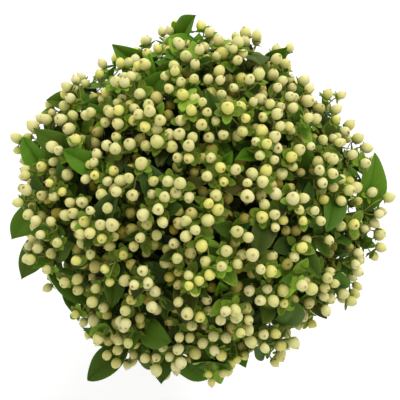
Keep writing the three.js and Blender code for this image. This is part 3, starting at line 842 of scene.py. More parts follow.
def ringFaces(rings, sides, capped=True):
    faces = []
    for i in range(rings - 1):
        for j in range(sides):
            k = (j + 1) % sides
            faces.append([i * sides + j, i * sides + k, (i + 1) * sides + k, (i + 1) * sides + j])
    if capped:
        faces.append(list(range(sides))[::-1])
        faces.append([(rings - 1) * sides + j for j in range(sides)])
    return faces


def ringAngles(sides):
    return np.arange(sides) / sides * fullTurn


def tubePoints(rows, radii, sides):
    # several tubes at once: rows of centres with a radius each
    along = np.empty_like(rows)
    along[:, 1:-1] = rows[:, 2:] - rows[:, :-2]
    along[:, 0] = rows[:, 1] - rows[:, 0]
    along[:, -1] = rows[:, -1] - rows[:, -2]
    along = unit(along)
    level = np.cross(along[:, 0], along[:, -1])
    bent = np.linalg.norm(level, axis=1, keepdims=True) > 0.05     # a straight tube has no plane of its own
    level = unit(np.where(bent, level, np.cross(along[:, 0], np.array([0.3, 0.9, 0.1]))))
    side = unit(np.cross(along, level[:, None]))
    other = np.cross(along, side)
    angle = ringAngles(sides)
    return (rows[:, :, None] + side[:, :, None] * (radii[:, :, None] * np.cos(angle))[..., None]
            + other[:, :, None] * (radii[:, :, None] * np.sin(angle))[..., None])


def newPart():
    return {"points": [], "loops": [], "sizes": [], "count": 0, "values": {}}


def addCopies(part, points, faces, **values):
    # points of several alike forms, the faces of one, and named values for every point
    copies, each = points.shape[0], points.shape[1]
    loops = np.array([i for face in faces for i in face])
    starts = part["count"] + np.arange(copies) * each
    part["points"].append(points.reshape(-1, 3))
    part["loops"].append((loops[None] + starts[:, None]).ravel())
    part["sizes"].append(np.tile([len(face) for face in faces], copies))
    part["count"] += copies * each
    for name, value in values.items():
        part["values"].setdefault(name, []).append(np.broadcast_to(value, (copies, each)).ravel())


pieces = []


def makePiece(name, part, material, nodeName, sharp):
    loops = np.concatenate(part["loops"])
    sizes = np.concatenate(part["sizes"])
    mesh = bpy.data.meshes.new(name)
    mesh.vertices.add(part["count"])
    mesh.vertices.foreach_set("co", (np.concatenate(part["points"]) * mm).astype(np.float32).ravel())
    mesh.loops.add(len(loops))
    mesh.loops.foreach_set("vertex_index", loops.astype(np.int32))
    mesh.polygons.add(len(sizes))
    mesh.polygons.foreach_set("loop_start", (np.cumsum(sizes) - sizes).astype(np.int32))
    mesh.polygons.foreach_set("use_smooth", np.ones(len(sizes), dtype=bool))
    mesh.update(calc_edges=True)
    for key, value in part["values"].items():
        attribute = mesh.attributes.new(key, "FLOAT", "POINT")
        attribute.data.foreach_set("value", np.concatenate(value).astype(np.float32))
    mesh.set_sharp_from_angle(angle=math.radians(sharp))
    mesh.materials.append(material)
    piece = bpy.data.objects.new(name, mesh)
    bpy.context.scene.collection.objects.link(piece)
    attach(piece, "root")
    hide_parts(nodeName)
    pieces.append(piece)


def tint(red, green, blue):
    def linear(v):
        return v / 255 / 12.92 if v <= 10 else ((v / 255 + 0.055) / 1.055) ** 2.4
    return (linear(red), linear(green), linear(blue), 1.0)


def feed(tree, node, inputs):
    # a socket is linked to the input, and anything else becomes its value
    for key, value in inputs.items():
        if isinstance(value, bpy.types.NodeSocket):
            tree.links.new(value, node.inputs[key])
        else:
            node.inputs[key].default_value = value


def put(tree, kind, inputs, **settings):
    node = tree.nodes.new(kind)
    for key, value in settings.items():
        setattr(node, key, value)
    feed(tree, node, inputs)
    return node.outputs


def calc(tree, operation, a, b=0.0):
    return put(tree, "ShaderNodeMath", {0: a, 1: b}, operation=operation)[0]


def times(tree, a, b):
    return calc(tree, "MULTIPLY", a, b)


def plus(tree, a, b):
    return calc(tree, "ADD", a, b)


def minus(tree, a, b):
    return calc(tree, "SUBTRACT", a, b)


def most(tree, mask, *others):
    for other in others:
        mask = calc(tree, "MAXIMUM", mask, other)
    return mask


def ranged(tree, ends, value):
    return plus(tree, ends[0], times(tree, value, ends[1] - ends[0]))


def fade(tree, value, low, high):
    inputs = {"Value": value, "From Min": low, "From Max": high}
    return put(tree, "ShaderNodeMapRange", inputs, interpolation_type="SMOOTHSTEP")[0]


def blend(tree, factor, a, b):
    return put(tree, "ShaderNodeMix", {0: factor, 6: a, 7: b}, data_type="RGBA")[2]


def layered(tree, colour, layers):
    # tints laid over each other, each through its mask
    for mask, over in layers:
        colour = blend(tree, mask, colour, over)
    return colour


def carried(tree, name):
    return put(tree, "ShaderNodeAttribute", {}, attribute_name=name)["Fac"]


def objectPlace(tree):
    return put(tree, "ShaderNodeTexCoord", {})["Object"]


def noise(tree, where, scale, detail):
    return put(tree, "ShaderNodeTexNoise", {"Vector": where, "Scale": scale, "Detail": detail})[0]


def useGroup(tree, group, inputs):
    return put(tree, "ShaderNodeGroup", inputs, node_tree=group)


def newGroup(name, inputs, outputs):
    group = bpy.data.node_groups.new(name, "ShaderNodeTree")
    for title, value in inputs.items():
        socket = group.interface.new_socket(title, in_out="INPUT", socket_type="NodeSocketFloat")
        socket.default_value = value
    for title in outputs:
        group.interface.new_socket(title, in_out="OUTPUT", socket_type="NodeSocketFloat")
    return group, group.nodes.new("NodeGroupInput").outputs, group.nodes.new("NodeGroupOutput")


mottleLook = {
    "patchDetail": 3.0,
    "grainFiner": 8.0,      # grain against patches
    "grainDetail": 2.0,
}


def mottleGroup():
    # soft patches of a size in millimetres, and fine grain for bumps
    look = mottleLook
    group, given, result = newGroup("mottle", {"Size": 4.0, "Contrast": 0.3}, ["Patches", "Grain"])
    where = objectPlace(group)
    scale = calc(group, "DIVIDE", 1 / mm, given["Size"])
    low = minus(group, 0.5, given["Contrast"])
    high = plus(group, 0.5, given["Contrast"])
    patches = fade(group, noise(group, where, scale, look["patchDetail"]), low, high)
    grain = noise(group, where, times(group, scale, look["grainFiner"]), look["grainDetail"])
    feed(group, result, {"Patches": patches, "Grain": grain})
    return group


veinLook = {
    "taper": 1.15,          # the rib's width at the root of the blade, from which it narrows to the tip
    "slant": 2.2,
    "waver": 0.7,
    "waverScale": 220.0,
    "waverDetail": 2.0,
    "vein": (0.4, 0.5),     # how far from midway between two veins one starts to show, and is full
    "toRim": (1.0, 0.75),   # where across the blade the veins are gone, and where they are full
    "veinDeep": 0.6,        # against the rib
}


def veinGroup():
    # a rib along the blade, veins that leave it slanting towards the tip, and the rim
    look = veinLook
    inputs = {"Veins": 9.0, "Rib Width": 0.07, "Rim Width": 0.08}
    group, given, result = newGroup("bladeVeins", inputs, ["Rib", "Veins", "Rim", "Height"])
    along = carried(group, "along")
    across = calc(group, "ABSOLUTE", carried(group, "across"))
    ribWidth = times(group, given["Rib Width"], minus(group, look["taper"], along))
    rib = minus(group, 1.0, fade(group, across, 0.0, ribWidth))
    waver = noise(group, objectPlace(group), look["waverScale"], look["waverDetail"])
    phase = minus(group, times(group, along, given["Veins"]), times(group, across, look["slant"]))
    phase = plus(group, phase, times(group, waver, look["waver"]))
    wave = calc(group, "ABSOLUTE", minus(group, calc(group, "FRACT", phase), 0.5))
    veins = times(group, fade(group, wave, *look["vein"]), fade(group, across, *look["toRim"]))
    rim = fade(group, across, minus(group, 1.0, given["Rim Width"]), 1.0)
    height = minus(group, 1.0, most(group, rib, times(group, veins, look["veinDeep"])))
    feed(group, result, {"Rib": rib, "Veins": veins, "Rim": rim, "Height": height})
    return group


mottle = mottleGroup()
bladeVeins = veinGroup()


def newMaterial(name):
    material = bpy.data.materials.new(name)
    material.use_nodes = True
    return material, material.node_tree


def finish(material, look, colour, rough, height):
    # rough is the mask that goes from the least to the most roughness, and height feeds the bumps
    tree = material.node_tree
    bumps = put(tree, "ShaderNodeBump", {"Height": height, "Distance": look["relief"]})[0]
    feed(tree, tree.nodes["Principled BSDF"], {
        "Base Color": colour, "Roughness": ranged(tree, look["rough"], rough), "Normal": bumps,
        **look["skin"]})
    return material


def patchedTone(tree, spots, share):
    # the tone of the whole form, with a share of patches in it
    return plus(tree, times(tree, carried(tree, "tone"), 1 - share), times(tree, spots["Patches"], share))


def lineLight(tree, lines, shares):
    return most(tree, *[times(tree, lines[name], share) for name, share in shares.items()])


berryLook = {
    "ivory": tint(202, 196, 112),
    "cream": tint(223, 217, 162),
    "unripe": tint(194, 199, 108),
    "young": tint(218, 212, 104),
    # painted shade: the olive tint of berries deep under their cluster
    "inner": tint(172, 158, 42),
    # a greener base near the sepals, with painted shade on the stalk end of the berry
    "baseTintAndShade": tint(150, 154, 46),
    "ring": tint(166, 150, 74),
    "tip": tint(104, 84, 40),
    "spots": {"Size": 3.5, "Contrast": 0.25},
    "patches": 0.25,
    "unripeTo": 0.45,       # berries less ripe than this are greener
    "unripeShare": 0.45,
    "youngShare": 0.75,
    "baseShadeEnd": (0.64, 0.05),   # where along the berry the greener base tint and the painted shade towards its stalk end start, and are full
    "baseShadeShare": 0.85,
    "ringAt": (0.87, 0.95),
    "tipAt": (0.95, 0.975),
    "dark": (0.2, 1.0),     # how dark the ring and the tip are on an unripe and on a ripe berry
    "rough": (0.48, 0.58),
    "relief": 0.00004,
    "skin": {"Subsurface Weight": 0.35, "Subsurface Radius": (0.9, 0.8, 0.4), "Subsurface Scale": 0.0022,
             "Specular IOR Level": 0.35},
}


def berryMaterial():
    look = berryLook
    material, tree = newMaterial("berrySkin")
    spots = useGroup(tree, mottle, look["spots"])
    along = carried(tree, "along")
    ripe = carried(tree, "ripe")
    dark = ranged(tree, look["dark"], times(tree, ripe, ripe))
    colour = blend(tree, patchedTone(tree, spots, look["patches"]), look["ivory"], look["cream"])
    colour = layered(tree, colour, [
        (times(tree, fade(tree, ripe, look["unripeTo"], 0.0), look["unripeShare"]), look["unripe"]),
        (times(tree, carried(tree, "young"), look["youngShare"]), look["young"]),
        # painted shade on berries deep under their cluster
        (carried(tree, "inner"), look["inner"]),
        # greener base and painted shade towards the berry's stalk end
        (times(tree, fade(tree, along, *look["baseShadeEnd"]), look["baseShadeShare"]), look["baseTintAndShade"]),
        (times(tree, fade(tree, along, *look["ringAt"]), dark), look["ring"]),
        (times(tree, fade(tree, along, *look["tipAt"]), dark), look["tip"])])
    return finish(material, look, colour, spots["Patches"], spots["Grain"])


leafLook = {
    "dark": tint(49, 56, 7),
    "mid": tint(55, 84, 8),
    "blue": tint(46, 73, 32),
    # brown: painted shade on leaves deep in the head, and the tint of some old leaves
    "oldAndShade": tint(65, 49, 12),
    "bright": tint(97, 149, 22),
    "under": tint(90, 116, 46),
    "vein": tint(106, 138, 42),
    "lines": {"Veins": 9.0, "Rib Width": 0.075, "Rim Width": 0.07},
    "spots": {"Size": 9.0, "Contrast": 0.3},
    "patches": 0.25,
    "light": {"Veins": 0.1, "Rim": 0.5, "Rib": 0.5},    # how much lighter the lines are
    "underFrom": (0.6, 0.9),    # through the thickness, from the upper face to the lower
    "underShare": 0.8,
    "rough": (0.5, 0.7),
    "grainShare": 0.3,
    "relief": 0.0003,
    "skin": {"Subsurface Weight": 0.12, "Subsurface Radius": (0.4, 1.0, 0.15), "Subsurface Scale": 0.001,
             "Specular IOR Level": 0.15},
}


def leafMaterial():
    look = leafLook
    material, tree = newMaterial("leafBlade")
    lines = useGroup(tree, bladeVeins, look["lines"])
    spots = useGroup(tree, mottle, look["spots"])
    under = fade(tree, carried(tree, "under"), *look["underFrom"])
    colour = blend(tree, carried(tree, "tone"), look["dark"], look["mid"])
    colour = layered(tree, colour, [
        (carried(tree, "blue"), look["blue"]),
        # painted shade deep in the head, and old leaves
        (carried(tree, "deep"), look["oldAndShade"]),
        (carried(tree, "bright"), look["bright"]),
        (times(tree, spots["Patches"], look["patches"]), look["mid"]),
        (lineLight(tree, lines, look["light"]), look["vein"]),
        (times(tree, under, look["underShare"]), look["under"])])
    height = plus(tree, lines["Height"], times(tree, spots["Grain"], look["grainShare"]))
    return finish(material, look, colour, spots["Grain"], height)


sepalLook = {
    # the dull end of the sepals' tone, towards which painted shade also darkens them
    "deep": tint(72, 78, 10),
    "fresh": tint(150, 193, 58),
    "vein": tint(150, 172, 66),
    "lines": {"Veins": 5.0, "Rib Width": 0.09, "Rim Width": 0.12},
    "spots": {"Size": 3.0, "Contrast": 0.3},
    "patches": 0.3,
    "light": {"Rim": 0.4, "Rib": 0.45},
    "rough": (0.5, 0.65),
    "relief": 0.00015,
    "skin": {"Subsurface Weight": 0.15, "Subsurface Radius": (0.5, 1.0, 0.2), "Subsurface Scale": 0.001,
             "Specular IOR Level": 0.15},
}


def sepalMaterial():
    look = sepalLook
    material, tree = newMaterial("sepals")
    lines = useGroup(tree, bladeVeins, look["lines"])
    spots = useGroup(tree, mottle, look["spots"])
    colour = blend(tree, patchedTone(tree, spots, look["patches"]), look["deep"], look["fresh"])
    colour = layered(tree, colour, [(lineLight(tree, lines, look["light"]), look["vein"])])
    return finish(material, look, colour, spots["Grain"], lines["Height"])


stemLook = {
    "green": tint(112, 122, 48),
    "tan": tint(138, 112, 62),
    "red": tint(122, 74, 44),
    "shoot": tint(142, 158, 66),
    "cut": tint(206, 196, 146),
    "pith": tint(150, 130, 84),
    "stretch": (1.0, 1.0, 0.06),    # streaks run up the stalk
    "streakScale": 900.0,
    "streakDetail": 4.0,
    "spots": {"Size": 14.0, "Contrast": 0.2},
    "tanFrom": (0.4, 0.65),
    "redShare": 0.45,
    "shootFrom": (0.55, 0.95),      # along the wood, where it turns to green shoot
    "cutFrom": (0.3, 0.6),          # on a cut end, from its rim inwards
    "pithFrom": (0.8, 1.0),
    "rough": (0.45, 0.7),
    "relief": 0.0003,
    "skin": {},
}


def stemMaterial():
    look = stemLook
    material, tree = newMaterial("stemBark")
    where = {"Vector": objectPlace(tree), "Scale": look["stretch"]}
    stretched = put(tree, "ShaderNodeMapping", where)[0]
    streaks = noise(tree, stretched, look["streakScale"], look["streakDetail"])
    spots = useGroup(tree, mottle, look["spots"])
    cut = carried(tree, "cut")
    colour = blend(tree, fade(tree, streaks, *look["tanFrom"]), look["green"], look["tan"])
    colour = layered(tree, colour, [
        (fade(tree, carried(tree, "along"), *look["shootFrom"]), look["shoot"]),
        (times(tree, spots["Patches"], look["redShare"]), look["red"]),
        (fade(tree, cut, *look["cutFrom"]), look["cut"]),
        (fade(tree, cut, *look["pithFrom"]), look["pith"])])
    return finish(material, look, colour, streaks, streaks)


twineLook = {
    "straw": tint(196, 164, 108),
    # darker jute, for the patches and for painted shade in the grooves between the plies
    "dark": tint(128, 96, 54),
    "spots": {"Size": 1.6, "Contrast": 0.2},
    "grooveShadeFrom": (0.2, 0.95),
    "patches": 0.4,
    "rough": (0.75, 0.95),
    "relief": 0.0004,
    "skin": {"Sheen Weight": 0.25},
}


def twineMaterial():
    look = twineLook
    material, tree = newMaterial("twine")
    spots = useGroup(tree, mottle, look["spots"])
    # painted shade in the grooves between the plies, and darker patches
    groove = fade(tree, carried(tree, "groove"), *look["grooveShadeFrom"])
    dark = most(tree, groove, times(tree, spots["Patches"], look["patches"]))
    colour = blend(tree, dark, look["straw"], look["dark"])
    return finish(material, look, colour, spots["Grain"], spots["Grain"])


berrySkin = berryMaterial()
leafBlade = leafMaterial()
sepalSkin = sepalMaterial()
stemBark = stemMaterial()
twineFibre = twineMaterial()
print("materials made")


berryForm = {
    "rings": 13,
    "sides": 18,
    "fuller": 0.9,          # under 1 is fuller than an ellipsoid
    "point": 0.09,          # how far its tip stands out, and over what angle
    "pointWide": 0.4,
    "lobes": 0.04,
    "lobeCount": 3,
    "uneven": 0.05,         # how far a berry may be wider one way than the other
    "lit": 8,               # height above the hub from which a berry is in full light
    "dim": 24,              # and how far below that it is in full shade
    "ownTone": 0.5,         # share of the tone that isn't its whole cluster's
    "youngSkin": 0.35,      # most that a ripe berry may look young
}

styleForm = {
    "count": 3,
    "long": 1.0,
    "thick": 0.2,           # radius
    "sides": 4,
    "levels": [-0.25, 0.45, 1.0],   # heights of its rings, in lengths, and how wide each is
    "taper": [1.0, 0.85, 0.4],
    "parted": 0.12,         # how far apart they are at their roots and at their ends
    "spread": 0.5,
    "curl": 1.6,
    "foot": 0.8,            # how far up the point of the berry they stand
}


def sideways(axes, turns):
    # two directions square to each axis, turned about it
    axes = np.asarray(axes)
    steep = abs(axes[:, 2:]) > 0.9
    level = unit(np.cross(axes, np.where(steep, [1.0, 0, 0], [0, 0, 1.0])))
    other = np.cross(axes, level)
    c, s = np.cos(turns)[:, None], np.sin(turns)[:, None]
    return level * c + other * s, other * c - level * s


def berryShape():
    # rings from the stalk to the tip, with one point at either end
    form = berryForm
    sides = form["sides"]
    u = np.linspace(0, math.pi, form["rings"])
    angle = ringAngles(sides)
    wide = np.clip(np.sin(u), 0, 1) ** form["fuller"]
    high = -np.cos(u) + form["point"] * np.exp(-((math.pi - u) / form["pointWide"]) ** 2)
    lobes = 1 + form["lobes"] * np.cos(form["lobeCount"] * angle)[None] * np.sin(u)[:, None]
    flat = (wide[:, None] * lobes)[..., None] * np.stack([np.cos(angle), np.sin(angle)], -1)
    points = np.concatenate([flat, np.repeat(high[:, None], sides, 1)[..., None]], -1)
    points = np.concatenate([points[0, :1], points[1:-1].reshape(-1, 3), points[-1, :1]])
    along = np.concatenate([[0.0], np.repeat(u[1:-1] / math.pi, sides), [1.0]])
    faces = [[i + 1 for i in face] for face in ringFaces(form["rings"] - 2, sides, capped=False)]
    last = len(points) - 1
    for j in range(sides):
        k = (j + 1) % sides
        faces.append([0, 1 + k, 1 + j])
        faces.append([last - sides + j, last - sides + k, last])
    return points, faces, along


def styleShape():
    # the little prongs that part at the tip of a berry
    form = styleForm
    levels = np.array(form["levels"])
    out = form["spread"] * form["long"] * levels.clip(0) ** form["curl"]
    rows = []
    for k in range(form["count"]):
        turn = fullTurn * k / form["count"]
        way = np.array([math.cos(turn), math.sin(turn), 0])
        rows.append(way * (out + form["parted"])[:, None] + up * (form["long"] * levels)[:, None])
    radii = np.repeat([form["taper"]], form["count"], 0) * form["thick"]
    each = len(levels) * form["sides"]
    faces = [[i + each * k for i in face] for k in range(form["count"])
             for face in ringFaces(len(levels), form["sides"])]
    return tubePoints(np.array(rows), radii, form["sides"]).reshape(-1, 3), faces


def clusterDepth(berry):
    # how much painted shade a berry and its sepals get: 0 for a berry in full light, towards 1 for those deep
    # under their cluster
    below = berryForm["lit"] - (berry["at"] - berry["cluster"]["hub"]) @ berry["cluster"]["out"]
    return within01(below / berryForm["dim"])


def column(values):
    return np.array(values)[:, None]


def addBerries(part, own):
    form = berryForm
    at = np.array([b["at"] for b in own])
    axes = np.array([b["axis"] for b in own])
    radius = column([b["radius"] for b in own])
    number = [(b["cluster"]["id"], b["order"]) for b in own]
    ownTone = form["ownTone"]
    looks = {
        "tone": column([(1 - ownTone) * draw(c, 19) + ownTone * draw(c, b, 20) for c, b in number]),
        "young": column([1.0 if b["young"] else form["youngSkin"] * draw(*n, 21) ** 3
                         for b, n in zip(own, number)]),
        "ripe": column([draw(*n, 24) for n in number]),
        # how deep a berry is under its cluster, for its painted shade
        "inner": column([clusterDepth(b) for b in own])}
    side, other = sideways(axes, np.array([fullTurn * draw(*n, 22) for n in number]))
    side, other = side[:, None], other[:, None]
    long = radius * berryRule["long"]
    shape, faces, along = berryShape()
    uneven = column([form["uneven"] * spread(*n, 23) for n in number])[..., None]
    flat = side * shape[None, :, :1] * (1 + uneven) + other * shape[None, :, 1:2] * (1 - uneven)
    points = at[:, None] + flat * radius[..., None] + axes[:, None] * shape[None, :, 2:] * long[..., None]
    addCopies(part, points, faces, along=along, **looks)
    shape, faces = styleShape()
    top = at + axes * radius * berryRule["long"] * (1 + styleForm["foot"] * form["point"])
    points = top[:, None] + side * shape[None, :, :1] + other * shape[None, :, 1:2]
    addCopies(part, points + axes[:, None] * shape[None, :, 2:], faces, along=1.0, **looks)


leafForm = {
    "rows": 21,
    "columns": 9,
    "fold": 16,             # degrees that each half stands up from flat
    "foldVary": 14,
    "width": 0.262,         # half width against the length
    "shift": 0.84,          # under 1 is widest nearer the root
    "full": 0.66,
    "point": 0.6,           # how sharp the sharpest tips are
    "thick": 0.6,
    "swell": 0.08,          # how far each half arches between the rib and the rim
    "wave": 0.03,           # height of the rim's ripple, in lengths, and how many ripples it has
    "waves": 1.3,
    "rimApart": 0.25,       # part of a wave that one rim is ahead, and the other behind
    "bend": 0.07,           # how far the tip is bent to the side, in lengths
    "twist": 24,            # degrees
}
smallLeafForm = {**leafForm, "rows": 11, "columns": 5, "width": 0.29, "full": 0.62, "thick": 0.5}
bractForm = {**leafForm, "rows": 8, "columns": 5, "width": 0.3, "shift": 0.85, "full": 0.75, "thick": 0.4,
             "wave": 0.0, "foldVary": 6, "bend": 0.0, "twist": 0, "point": 0}
sepalForm = {**bractForm, "rows": 5, "columns": 3, "fold": 14, "width": 0.35, "shift": 1.0, "full": 0.62,
             "thick": 0.35, "swell": 0.04}
largeSepalForm = {**sepalForm, "rows": 7}

# A blade's one phase gives all that varies in its form: these make its point and its twist from it.
pointPhase = 7
twistPhase = (3, 0.2)


def addBlades(part, own, form):
    if not own:
        return
    places, faces = bladeShape(form["rows"], form["columns"])
    t, across, under = places.T
    sizes = np.array([b["length"] for b in own], dtype=float)
    ribs = np.array([b["rib"] for b in own])
    facing = np.array([b["facing"] for b in own])
    rib, side, face, half = bladeFrame(ribs, facing, sizes, t, form)
    phase = column([b["phase"] for b in own])
    half = half * roundness(t, form) ** (form["point"] * (phase * pointPhase % 1) * t ** 2)
    turn = np.cos(fullTurn * (phase * twistPhase[0] + twistPhase[1]))
    twist = (np.radians(form["twist"]) * turn * t)[..., None]
    side, face = side * np.cos(twist) + face * np.sin(twist), face * np.cos(twist) - side * np.sin(twist)
    fold = np.radians(form["fold"] + form["foldVary"] * np.sin(fullTurn * phase))[..., None]
    out = (across * half)[..., None]
    points = rib + side * out * np.cos(fold) + face * abs(out) * np.sin(fold)
    bend = form["bend"] * np.cos(fullTurn * phase) * sizes[:, None] * t ** 2
    points = points + side * bend[..., None]
    ripple = np.sin(fullTurn * (form["waves"] * t[None] + phase + form["rimApart"] * np.sign(across)))
    rise = form["wave"] * sizes[:, None] * ripple * across ** 2 * np.sin(math.pi * t)
    rise = rise + form["swell"] * half * np.sin(math.pi * abs(across)) + form["thick"] * (0.5 - under)
    looks = {key: column([float(b.get(key, 0)) for b in own]) for key in ("tone", "blue", "bright", "deep")}
    addCopies(part, points + face * rise[..., None], faces, along=t, across=across, under=under, **looks)


def bladeBeside(at, axis, turn, aside, rise, size, arch, tone):
    # a blade that leaves an axis and arches above the straight way to its end, or hangs below it
    out = sideways(axis[None], np.array([turn]))[0][0]
    root = at + out * aside
    rise = math.radians(rise)
    end = root + (out * math.cos(rise) + axis * math.sin(rise)) * size
    facing = unit(axis * math.cos(rise) - out * math.sin(rise))
    over = (root + end) / 2 + facing * arch * size
    return {"rib": [root, over, end], "facing": facing, "length": size, "tone": tone, "phase": 0}


leafTone = {
    "shadeTo": 92,          # leaves whose tips are this near the axis are dark and bluish
    "lightFrom": 160,       # and those as far out as this are fresh green
    "blue": 0.8,
    "fresh": (0.0, 0.7),
    "freshDraw": 18509,     # the draw that says which of these are brightest
    "deepFrom": (0.85, 0.55),   # how far out of the head's middle the painted shade on leaves starts, and is darkest
    "oldAndShade": 0.85,            # how much of the brown tint is on the deepest leaves, as painted shade, and on some of the others, as old leaves
    "oldVary": 0.8,
}


def depthOf(at):
    # 0 in the outer part of the head, towards 1 deep in its middle, for the painted shade on leaves
    flat = fromAxis(at) / head["radius"]
    reach = math.hypot(flat, (at[2] - head["level"]) / head["height"])
    near, far = leafTone["deepFrom"]
    return within01((near - reach) / (near - far))


def toneOf(tip, number):
    rule = leafTone
    far = within01((fromAxis(tip) - rule["shadeTo"]) / (rule["lightFrom"] - rule["shadeTo"]))
    fresh = nearness("fresh", tip)
    blue = rule["blue"] * draw(number, 32) * (1 - far) * (1 - fresh)
    bright = far * between(rule["fresh"], draw(number, rule["freshDraw"]))
    bright = max(bright, fresh * between(growth["leaf"], draw(number, 34)))
    # leaves deep in the head get painted shade: a darker tone, less brightness and the brown tint; some
    # others get the tint at random as old leaves
    deep = depthOf(tip)
    oldAndShade = max(rule["oldAndShade"] * deep, rule["oldVary"] * draw(number, 35) ** 2 * (1 - fresh))
    return {"tone": draw(number, 30) * (1 - deep), "bright": bright * (1 - deep), "blue": blue, "deep": oldAndShade}


def bigLeaves(stem):
    return [{"rib": [leaf["root"], *leaf["rib"][1:]], "facing": leaf["facing"], "length": leaf["length"],
             "phase": draw(leaf["id"], 31), **toneOf(leaf["rib"][2], leaf["id"])} for leaf in stem["leaves"]]


smallLeafRule = {
    "numbers": (1000, 100), # number of the first, and how many numbers each stem has for its own
    "onTwig": [0.16, 0.34, 0.52, 0.7, 0.88],
    "onStalk": [0.16, 0.24, 0.32, 0.4, 0.48, 0.56, 0.64, 0.72, 0.8, 0.88, 0.95],
    "twigLong": (37, 21),   # lengths at the start and the end of the wood that bears them
    "stalkLong": (54, 24),
    "vary": 5,
    "open": 52,             # degrees from the wood that bears them
    "openVary": 14,
    "arch": 0.1,
    "archAt": 0.45,
    "turns": 8,             # turns about it that are tried, and how many radians either way
    "spin": 1.1,
    "rows": np.linspace(0.15, 1, 8),    # where on a blade its room is tried
    "across": np.linspace(-1, 1, 5),
    "rootFree": 6,          # what is this near the root doesn't hinder it
    "near": 8,
    "room": 0.7,
    "clearest": 2,          # more room than this is no better
    "space": 0.6,           # what it takes for itself
    "rim": 115,             # those as far from the axis as this may also grow shorter, to fit
    "short": 0.7,
}


def smallLeafPlaces(stem):
    # each wood that bears them, where along it, how long they are there, and the number of the joint
    rule = smallLeafRule
    bearers = [(stem["stalk"]["path"], "onStalk", "stalkLong")]
    bearers += [(twig["path"], "onTwig", "twigLong") for twig in stem["twigs"]]
    return [(path, t, between(rule[long], t), k) for path, joints, long in bearers
            for k, t in enumerate(rule[joints])]


def planSmallLeaves(stems, wood, blades, berries):
    rule = smallLeafRule
    at = np.concatenate([wood["at"], [b["at"] for b in berries], blades])
    bladeRadius = np.full(len(blades), leafRule["leafSpace"])
    radius = np.concatenate([wood["radius"], [b["radius"] for b in berries], bladeRadius])
    grown = [[] for stem in stems]
    for stem in stems:
        for order, (path, t, long, k) in enumerate(smallLeafPlaces(stem)):
            number = rule["numbers"][0] + rule["numbers"][1] * stem["index"] + order
            root = bezier(path, t)
            way = unit(bezier(path, t + nearby) - bezier(path, t - nearby))
            first = fullTurn * draw(number, 1) + k * math.pi / 2
            for pair in (0, 1):
                whole = long + rule["vary"] * spread(number, pair, 2)
                turns = first + pair * math.pi + np.linspace(-1, 1, rule["turns"]) * rule["spin"]
                turns = turns[np.argsort(abs(turns - first - pair * math.pi), kind="stable")]
                out = sideways(np.repeat(way[None], len(turns), 0), turns)[0]
                opening = math.radians(rule["open"] + rule["openVary"] * spread(number, pair, 3))
                heading = out * math.sin(opening) + way * math.cos(opening)
                facing = unit(way[None] * math.sin(opening) - out * math.cos(opening))
                free = apart(at, root) > rule["rootFree"]
                for size in (whole, whole * rule["short"]):
                    ends = root + heading * size
                    over = root + (ends - root) * rule["archAt"] + facing * rule["arch"] * size
                    ribs = np.stack([np.repeat(root[None], len(turns), 0), over, ends], 1)
                    sizes = np.full(len(turns), size)
                    points = bladePoints(ribs, facing, sizes, rule["rows"], rule["across"], smallLeafForm)
                    room = leastRoom(points, at, radius, free, rule["near"])
                    best = int(np.argmax(np.minimum(room, rule["clearest"])))
                    if room[best] > rule["room"] or fromAxis(root) < rule["rim"]:
                        break
                if room[best] < rule["room"]:
                    continue
                grown[stem["index"]].append({
                    "rib": ribs[best], "facing": facing[best], "length": size,
                    "phase": draw(number, pair, 5), **toneOf(ends[best], 2 * number + pair)})
                at = np.concatenate([at, points[best]])
                radius = np.concatenate([radius, np.full(len(points[best]), rule["space"])])
    return grown


bractRule = {
    "long": (16, 27),       # in old and in fresh growth
    "vary": 4,
    "rise": 16,
    "riseVary": 12,
    "turnVary": 0.3,
    "hang": -0.06,
    "below": 3,
    "pairBelow": 9,         # fresh growth has a second pair, this far below the hub
    "pairFrom": 0.35,
}


def bracts(stem):
    rule = bractRule
    found = []
    for c in stem["clusters"]:
        fresh = nearness("fresh", c["hub"])
        turn = fullTurn * draw(c["id"], 40)
        for k in range(4 if fresh > rule["pairFrom"] else 2):
            around = turn + k * math.pi + k // 2 * math.pi / 2 + rule["turnVary"] * spread(c["id"], k, 41)
            size = between(rule["long"], fresh) + rule["vary"] * spread(c["id"], k, 42)
            rise = rule["rise"] + rule["riseVary"] * spread(c["id"], k, 43)
            at = c["hub"] - c["arrival"] * rule["pairBelow" if k > 1 else "below"]
            tone = freshTone(c["hub"], draw(c["id"], k, 44))
            found.append(bladeBeside(at, c["arrival"], around, 0, rise, size, rule["hang"], tone))
    return found


sepalRule = {
    "count": 5,
    "large": (0.28, 0.75),  # share of berries with sepals that show round them, in old and in fresh growth
    "tone": 0.45,           # how much of the tone is each sepal's own
    "dull": 1.5,            # over 1 makes more of them dull
    "deepShade": 0.8,         # how much painted shade darkens the sepals of berries deep under their cluster
    "long": (0.9, 1.2),     # lengths in berry radii
    "largeLong": (1.5, 2.2),
    "youngLong": (1.9, 2.4),
    "uneven": 0.26,
    "turn": 0.2,
    "rise": 6,
    "youngRise": 18,
    "riseVary": 14,
    "riseOwn": 13,
    "rootOut": 0.3,
    "bend": 0.1,            # share of its length that the next two count in
    "archMost": 0.3,        # how far it arches up at most, and how much lower it may hang
    "archVary": 1.4,
}


def freshTone(at, share):
    own = sepalRule["tone"]
    return own * share ** sepalRule["dull"] + (1 - own) * nearness("fresh", at)


